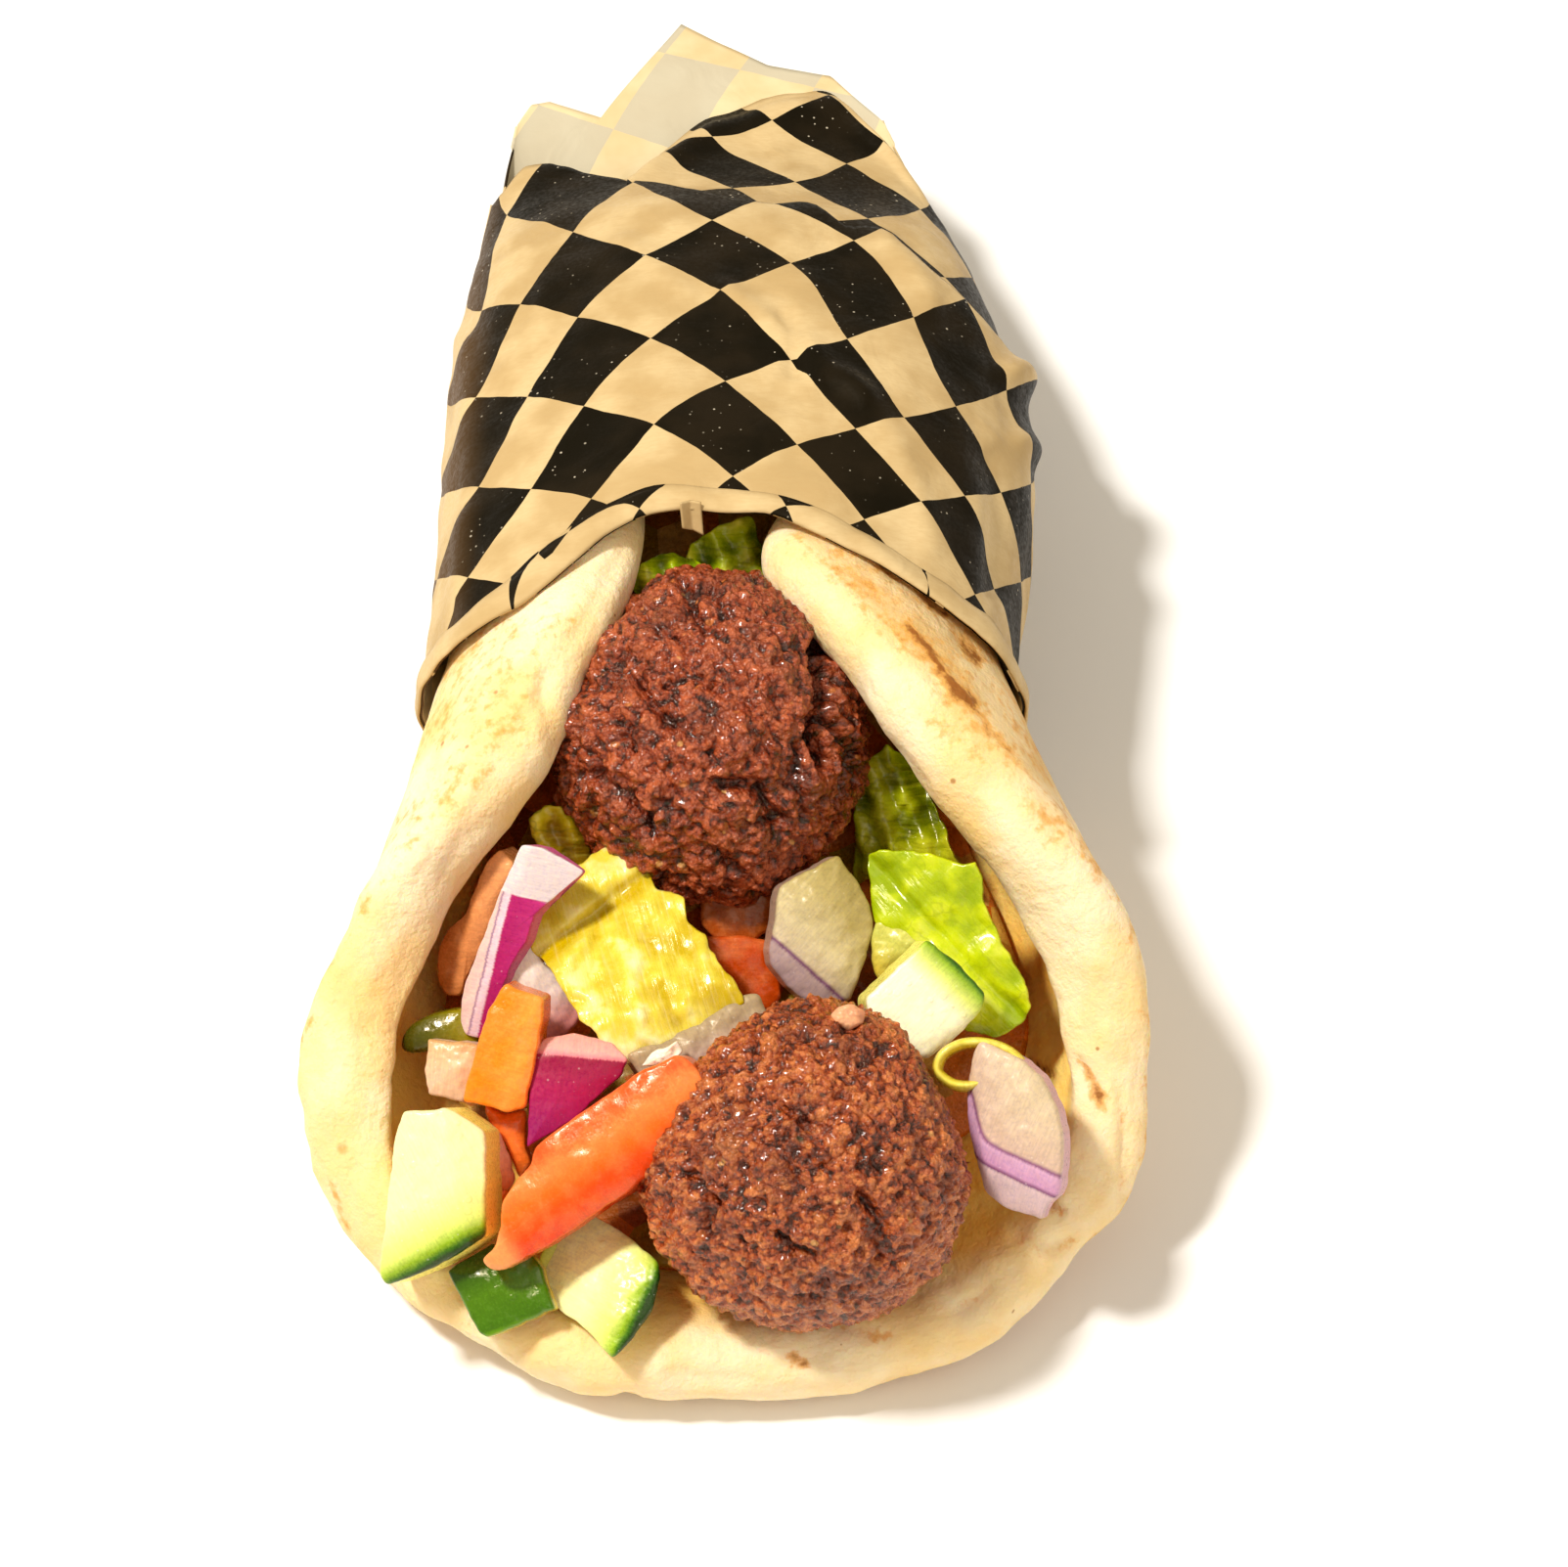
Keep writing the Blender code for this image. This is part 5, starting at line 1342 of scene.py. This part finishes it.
def make_bed():
    """Salad core: rings along the roll, the lower half against the bread's inside up to a
    brim, and the upper half a lumpy, domed lid."""
    share = np.linspace(0.02, 0.98, BED_RINGS)[:, None]
    turn = np.linspace(-np.pi, np.pi, BED_AROUND, endpoint=False)[None]
    station = BED_FRONT + (BED_BACK - BED_FRONT) * share + 0 * turn
    fill = np.clip(np.sin(np.pi * share) * 3.0, 0, 1) ** 0.5
    inset = BREAD_THICK / 2 + WALL_GAP
    core = bread_point(0 * station, station, inset)
    half = (smooth_row(station, STATION, HALF_WIDTH) - inset) * fill
    high = smooth_row(station, STATION, HALF_HEIGHT) - inset
    top = np.maximum(smooth_row(station, BED_STATION, BED_TOP) - DOME, core[..., 2] + 2.5)
    brim = np.arccos(np.clip(1 - (top - core[..., 2]) / high, -0.85, 1))
    wall = np.clip(np.abs(turn) / (np.pi / 2), 0, 1)
    lid = np.clip(2 - np.abs(turn) / (np.pi / 2), 0, 1)
    angle = brim * wall * np.sign(turn)
    x = core[..., 0] + half * across(angle) * lid
    z = core[..., 2] + 0.2 + high * (1 - np.cos(angle))
    spot = np.stack((x, station, 0 * x), axis=-1)
    lumps = 1.6 * rough(spot, 9.0, 5) + 1.6 * crumbs(spot, 7.0, 4) - 1.6
    lumps = lumps - 3.0 * np.exp(-((x - 3) / 12) ** 2 - ((station - 60) / 10) ** 2)
    z = z + lumps * np.sin(np.pi * lid) * fill + DOME * (1 - lid**2) * (wall >= 1) * fill
    points = np.stack((x, LIP_Y + station, z), axis=-1)
    bed = closed_rings("salad_core", points, points[0].mean(axis=0), points[-1].mean(axis=0))
    finish_piece(bed, salad_look(), "salad", "salad_bed")


# Paper

# Corners of the print's squares in the photograph: the pixel, then the corner's number
# across and along the sheet, counted in half diagonals of a square
PRINT_CORNERS = (
    (749, 488, 0, 0), (742, 391, 0, 2), (736, 301, 0, 4), (729, 229, 0, 6), (815, 455, 1, 1),
    (811, 365, 1, 3), (807, 270, 1, 5), (865, 350, 2, 4), (873, 440, 2, 2), (871, 250, 2, 6),
    (922, 432, 3, 3), (933, 326, 3, 5), (938, 518, 3, 1), (884, 532, 2, 0), (984, 509, 4, 2),
    (975, 416, 4, 4), (1027, 503, 5, 3), (670, 437, -1, 1), (665, 348, -1, 3), (660, 265, -1, 5),
    (585, 235, -2, 6), (590, 323, -2, 4), (596, 415, -2, 2), (606, 509, -2, 0), (544, 502, -3, 1),
    (539, 404, -3, 3), (531, 312, -3, 5), (520, 223, -3, 7), (494, 501, -4, 2), (491, 408, -4, 4),
    (494, 319, -4, 6), (456, 508, -5, 3), (650, 192, -1, 7), (780, 208, 1, 7))
# The same past the flanks, as degrees of turn and station, where the photograph shows none
FLANK_CORNERS = (
    (-150, 110, -10, 0), (-150, 150, -10, 3.7), (-150, 190, -10, 7.4), (150, 110, 10, 1),
    (150, 150, 10, 4.7), (150, 190, 10, 8.4))
# Corners on the layer that shows at the tail, numbered by whole squares both ways
TAIL_CORNERS = (
    (728, 148, 0, 0), (788, 128, 1, 0), (847, 100, 2, 0), (813, 187, 0, 1), (865, 167, 1, 1),
    (902, 152, 2, 1), (751, 191, -1, 1), (886, 222, 0, 2), (942, 213, 1, 2), (667, 152, -1, 0))
# Edges of the sheets, as degrees of turn from the top line and station
FRONT_EDGE = (
    (-180, 101), (-100, 100), (-60, 97.5), (-40, 98), (-30, 99.8), (-22.5, 104.5), (-16, 109.6),
    (-11, 111.6), (-5.5, 112.2), (0, 111.6), (9, 110.8), (12.5, 109.2), (20.5, 106), (30, 102.2),
    (40, 99), (49, 97.6), (100, 99), (180, 101))
CUFF_EDGE = (
    (-180, 105.5), (-100, 104.5), (-60, 102), (-45, 101.6), (-36.5, 103.8), (-24, 110.5), (-16.5, 114.8),
    (-10.5, 116.4), (-3, 115.8), (6, 114.8), (12.5, 113.2), (19, 110.8), (28.5, 107.3), (34, 105),
    (42, 103.2), (58.5, 101.8), (100, 103.5), (180, 105.5))
TOP_EDGE = (
    (-180, 200), (-120, 206), (-93, 208.5), (-62, 207), (-50, 211.5), (-44, 211.8), (-28.5, 206.8),
    (-16.5, 201.2), (-6.5, 194.2), (1, 188.8), (8.5, 187.5), (16, 187.2), (21, 181), (26.5, 182),
    (33, 174.8), (42, 170), (60, 165), (80, 165), (95, 170), (120, 185), (180, 200))
MIDDLE_EDGE = (
    (-18, 208), (-14, 212.8), (-6.5, 220), (1, 226), (10, 229.5), (20, 232.8), (30, 233.8), (42, 234.2),
    (51, 228.2), (57.5, 221), (80, 212), (100, 214), (180, 222))
# Folds that the photograph shows: line in pixels, half width, and height in millimetres
PAPER_FOLDS = (
    (((742, 300), (790, 330), (840, 372), (884, 410)), 12, 1.0),
    (((800, 322), (815, 352), (812, 380)), 8, -1.2),
    (((868, 395), (905, 440), (935, 500), (950, 560)), 15, 0.8),
    (((905, 250), (950, 310), (985, 380), (1010, 450)), 13, 1.1),
    (((962, 330), (1000, 420), (1020, 520), (1018, 600)), 15, -1.3),
    (((1052, 400), (1030, 384)), 13, 2.6),
    (((1062, 470), (1040, 452)), 11, 1.4),
    (((474, 350), (482, 470), (470, 610)), 13, 0.8),
    (((560, 290), (520, 380)), 11, 0.5),
    (((640, 250), (700, 300)), 10, 0.4),
    (((880, 560), (930, 600), (985, 650)), 9, 0.6),
)


# The print's map measures a radian of turn as four units, and ten millimetres as one
TURN_UNITS = 4.0
STATION_UNIT = 10
PLATE_EASE = 0.6
PAPER_THICK = 0.3
WRAP_TURN = 172
WRAP_COLUMNS = 242
LOWER_START = 150
GHOST_CORNER = (-19.9, 225.7)
CUFF_PRINT_SHIFT = (1.3, 0.7)
PLAIN_KRAFT = (0.9, 0.2)


def by_turn(turn, edge):
    """Station of an edge at a turn in radians."""
    turns, stations = zip(*edge)
    return smooth_row(np.degrees(turn), turns, stations)


def print_map(corners, more=()):
    """Function from turn and station to the print's two numbers. It bends like a thin
    plate through the corners, each found on the tube where the photograph shows it."""
    turn, station = np.meshgrid(np.radians(np.linspace(-100, 100, 401)), np.linspace(94, 245, 605),
                                indexing="ij")
    px, py = photo_spot(paper_tube(turn, station))
    found = [np.argmin((px - x) ** 2 + (py - y) ** 2) for x, y, _, _ in corners]
    at = np.stack((turn.ravel()[found] * TURN_UNITS, station.ravel()[found] / STATION_UNIT), axis=1)
    to = np.array([corner[2:] for corner in corners], float)
    if more:
        more = np.array(more, float)
        beyond = np.stack((np.radians(more[:, 0]) * TURN_UNITS, more[:, 1] / STATION_UNIT), axis=1)
        at = np.concatenate((at, beyond))
        to = np.concatenate((to, more[:, 2:]))

    def bend(places):
        """Thin plate's pull of each corner on each place: distance squared times its log."""
        gap = ((places[:, None] - at[None]) ** 2).sum(axis=-1)
        return gap * np.log(gap + 1e-9)

    def plane(places):
        """The plane's three parts: one, and the two measures of the place."""
        return np.concatenate((np.ones((len(places), 1)), places), axis=1)

    count = len(at)
    whole = np.zeros((count + 3, count + 3))
    whole[:count, :count] = bend(at) + PLATE_EASE * np.eye(count)
    whole[:count, count:] = plane(at)
    whole[count:, :count] = plane(at).T
    weights = np.linalg.solve(whole, np.concatenate((to, np.zeros((3, 2)))))

    def lookup(turn, station):
        """The print's numbers at a turn and station."""
        places = np.stack((turn.ravel() * TURN_UNITS, station.ravel() / STATION_UNIT), axis=1)
        numbers = bend(places) @ weights[:count] + plane(places) @ weights[count:]
        return numbers.reshape(turn.shape + (2,))
    return lookup


def paper_relief(turn, spot):
    """Height of the folds: those of the photograph on the side that it shows, and a soft
    crumple all over."""
    flow = np.stack((spot[..., 0] * 0.9, spot[..., 1] * 0.4, spot[..., 2] * 0.9), axis=-1)
    height = 0.5 * rough_sum(flow, 11.0, 21) + 0.25 * rough(spot, 5.0, 24)
    px, py = photo_spot(spot)
    seen = step(np.abs(turn), 2.0, 1.5)
    for line, wide, tall in PAPER_FOLDS:
        height = height + tall * np.exp(-(near_line(px, py, line) / wide) ** 2) * seen
    return height


def paper_layer(turn, station, out, relief=1.0):
    """Points of one layer over the tube, pushed out along its normal and by the folds."""
    spot = paper_tube(turn, station)
    lift = out + relief * paper_relief(turn, spot)
    points = spot + normal_of(paper_tube, turn, station, 0.01, 0.5) * np.asarray(lift)[..., None]
    points[..., 2] = np.maximum(points[..., 2], 0.0)
    return points


def sheet_grid(first, last, columns, rows):
    """Grid of turns in radians between two angles in degrees, and the share of the way
    along the sheet, 0 in its first row and 1 in its last."""
    share = np.linspace(0, 1, rows)[:, None]
    return np.radians(np.linspace(first, last, columns))[None] + 0 * share, share


def upper_sheet(front_print):
    """The wrapped sheet from its front edge to its torn upper edge, where it stands off."""
    turn, share = sheet_grid(-WRAP_TURN, WRAP_TURN, WRAP_COLUMNS, 109)
    front, edge = by_turn(turn, FRONT_EDGE), by_turn(turn, TOP_EDGE)
    station = front + (edge - front) * share
    torn = 0.5 * rough(np.stack((turn * 40, station, 0 * turn), axis=-1), 3.0, 8) * step(share, 0.9, 1.0)
    station = station + torn
    free = step(station, edge - 22, edge - 1)
    return paper_layer(turn, station, 0.15 + 0.8 * free), front_print(turn, station)


def middle_sheet(tail_print):
    """The layer that shows past the upper edge, its own edge curled up and then down."""
    turn, share = sheet_grid(-18, WRAP_TURN, 120, 50)
    start, edge = by_turn(turn, TOP_EDGE) - 16, by_turn(turn, MIDDLE_EDGE)
    station = start + (np.maximum(edge, start + 6) - start) * share
    curl = 1.6 * np.exp(-((station - edge + 7) / 4.5) ** 2) - 1.4 * step(station, edge - 6, edge)
    squares = tail_print(turn, station)
    column, row = squares[..., 0], squares[..., 1]
    points = paper_layer(turn, station, -0.35 + curl * step(turn, 1.3, 0.9))
    return points, np.stack((column + row, column - row), axis=-1)


def lower_sheet():
    """The sheet under the wrap, up to its two torn corners. Its print is a turned and
    scaled lattice, counted from the corner at GHOST_CORNER."""
    turn, share = sheet_grid(76, 284, 146, 84)
    finish = tail_edge(turn, LOWER_EDGE)
    station = LOWER_START + (finish - LOWER_START) * share
    points = paper_layer(turn, station, -0.75, 0.3)
    wide, far = points[..., 0] - GHOST_CORNER[0], station - GHOST_CORNER[1]
    one = 1 + 0.0171 * wide + 0.049 * far
    two = 0.0681 * wide - 0.0327 * far
    return points, np.stack((one + two, one - two), axis=-1)


def cuff(front_print):
    """The hem turned back along the front edge, a bulge over the sheet. It mirrors the
    print at the edge, and is plain past its middle."""
    turn, share = sheet_grid(-WRAP_TURN, WRAP_TURN, WRAP_COLUMNS, 12)
    front, back = by_turn(turn, FRONT_EDGE), by_turn(turn, CUFF_EDGE)
    back = back + 0.35 * rough(np.stack((turn * 40, back, 0 * turn), axis=-1), 4.0, 3)
    station = front - 0.4 + (back - front + 0.4) * share
    bulge = 0.5 + 0.55 * np.sin(np.pi * np.clip(share * 1.1, 0, 1)) ** 0.6 + 0.2 * share
    mirrored = front_print(turn, 2 * front - station) + np.array(CUFF_PRINT_SHIFT)
    away = step(np.abs(turn), 0.45, 0.7)[..., None]
    return paper_layer(turn, station, bulge), mirrored * (1 - away) + np.array(PLAIN_KRAFT) * away


def pleat():
    """The cuff's small hanging pleat: a grid of pixels dropped on a plane that faces the
    camera, with one crease down it."""
    across_part, down = np.meshgrid(np.linspace(0, 1, 14), np.linspace(0, 1, 16))
    px = 695 + 20 * across_part + 3 * down
    py = 512 + (27 + 7 * across_part) * down
    ray = photo_ray(px, py)
    hinge = paper_tube(np.array(-0.08), np.array(111.5))
    facing = np.array((0.15, -0.85, 0.5))
    reach = dot(hinge - EYE, facing) / dot(ray, facing)
    crease = 0.9 * np.abs(2 * across_part - 1.1) - 0.3 * down
    points = EYE + ray * reach[..., None] + facing * crease[..., None]
    return points[::-1], np.broadcast_to(PLAIN_KRAFT, px.shape + (2,))


def make_paper():
    """The paper's sheets in one piece, each a grid of points with its print's numbers as
    the UV map, and Solidify giving them their thickness."""
    front_print = print_map(PRINT_CORNERS, FLANK_CORNERS)
    tail_print = print_map(TAIL_CORNERS)
    layers = (upper_sheet(front_print), middle_sheet(tail_print), lower_sheet(), cuff(front_print), pleat())
    points, quads, maps, base = [], [], [], 0
    for places, uv in layers:
        rows, columns = places.shape[:2]
        quads.append(grid_quads(rows, columns, False) + base)
        points.append(places.reshape(-1, 3))
        maps.append(uv.reshape(-1, 2))
        base += rows * columns
    paper = build_mesh("checked_paper", np.concatenate(points), np.concatenate(quads),
                       uv=np.concatenate(maps))
    thick = paper.modifiers.new("Thickness", "SOLIDIFY")
    thick.thickness = PAPER_THICK * MM
    thick.offset = -1.0
    thick.material_offset = 1
    return finish_piece(paper, [paper_look("checked paper", False), paper_look("paper inside", True)],
                        "paper", "wrapper")


# Studio
FLOOR_REACH = 3.0
ROOM_COLOUR = (1.0, 0.88, 0.70, 1.0)
ROOM_STRENGTH = 0.5
LAMP_COLOUR = (1.0, 0.97, 0.92)
LAMP_AIM = (0.0, -0.04, 0.03)
# Lamps: name, place and size in metres, and power in watts
LAMPS = (("key", (-0.48, -0.06, 1.0), 0.13, 12.6), ("fill", (0.6, -0.7, 0.9), 1.0, 3.4))


def make_studio():
    """Pale floor, a key light from the upper left, a soft fill and a bright room."""
    scene = bpy.context.scene
    scene.view_settings.view_transform = "Standard"
    mesh = bpy.data.meshes.new("floor")
    far = FLOOR_REACH
    mesh.from_pydata([(-far, -far, 0), (far, -far, 0), (far, far, 0), (-far, far, 0)], [], [(0, 1, 2, 3)])
    floor = bpy.data.objects.new("floor", mesh)
    scene.collection.objects.link(floor)
    mat, tree, shader = new_look("pale floor", 0.7)
    cloudy = noise(tree, object_place(tree), 60.0, 2.0)
    join(tree, mixed(tree, cloudy, tone(246, 246, 245), tone(250, 250, 250)), shader.inputs["Base Color"])
    mesh.materials.append(mat)
    world = bpy.data.worlds.new("room")
    scene.world = world
    world.use_nodes = True
    sky = world.node_tree.nodes["Background"]
    sky.inputs["Color"].default_value = ROOM_COLOUR
    sky.inputs["Strength"].default_value = ROOM_STRENGTH
    for name, place, size, power in LAMPS:
        data = bpy.data.lights.new(name, "AREA")
        data.size = size
        data.energy = power
        data.color = LAMP_COLOUR
        lamp = bpy.data.objects.new(name, data)
        lamp.location = place
        aim = Vector(LAMP_AIM) - Vector(place)
        lamp.rotation_euler = aim.to_track_quat("-Z", "Y").to_euler()
        scene.collection.objects.link(lamp)
    camera = bpy.data.objects.new("camera", bpy.data.cameras.new("camera"))
    camera.data.sensor_fit = "VERTICAL"
    camera.data.angle = float(CAMERA_ANGLE)
    camera.data.clip_start = 0.01
    camera.location = Vector(EYE * MM)
    camera.rotation_euler = Vector(FORWARD).to_track_quat("-Z", "Y").to_euler()
    scene.collection.objects.link(camera)
    scene.camera = camera


make_studio()
make_groups()
make_bread()
make_falafel("back")
make_falafel("front")
make_onions()
make_tomatoes()
make_cucumbers()
make_lettuce()
make_bed()
make_paper()
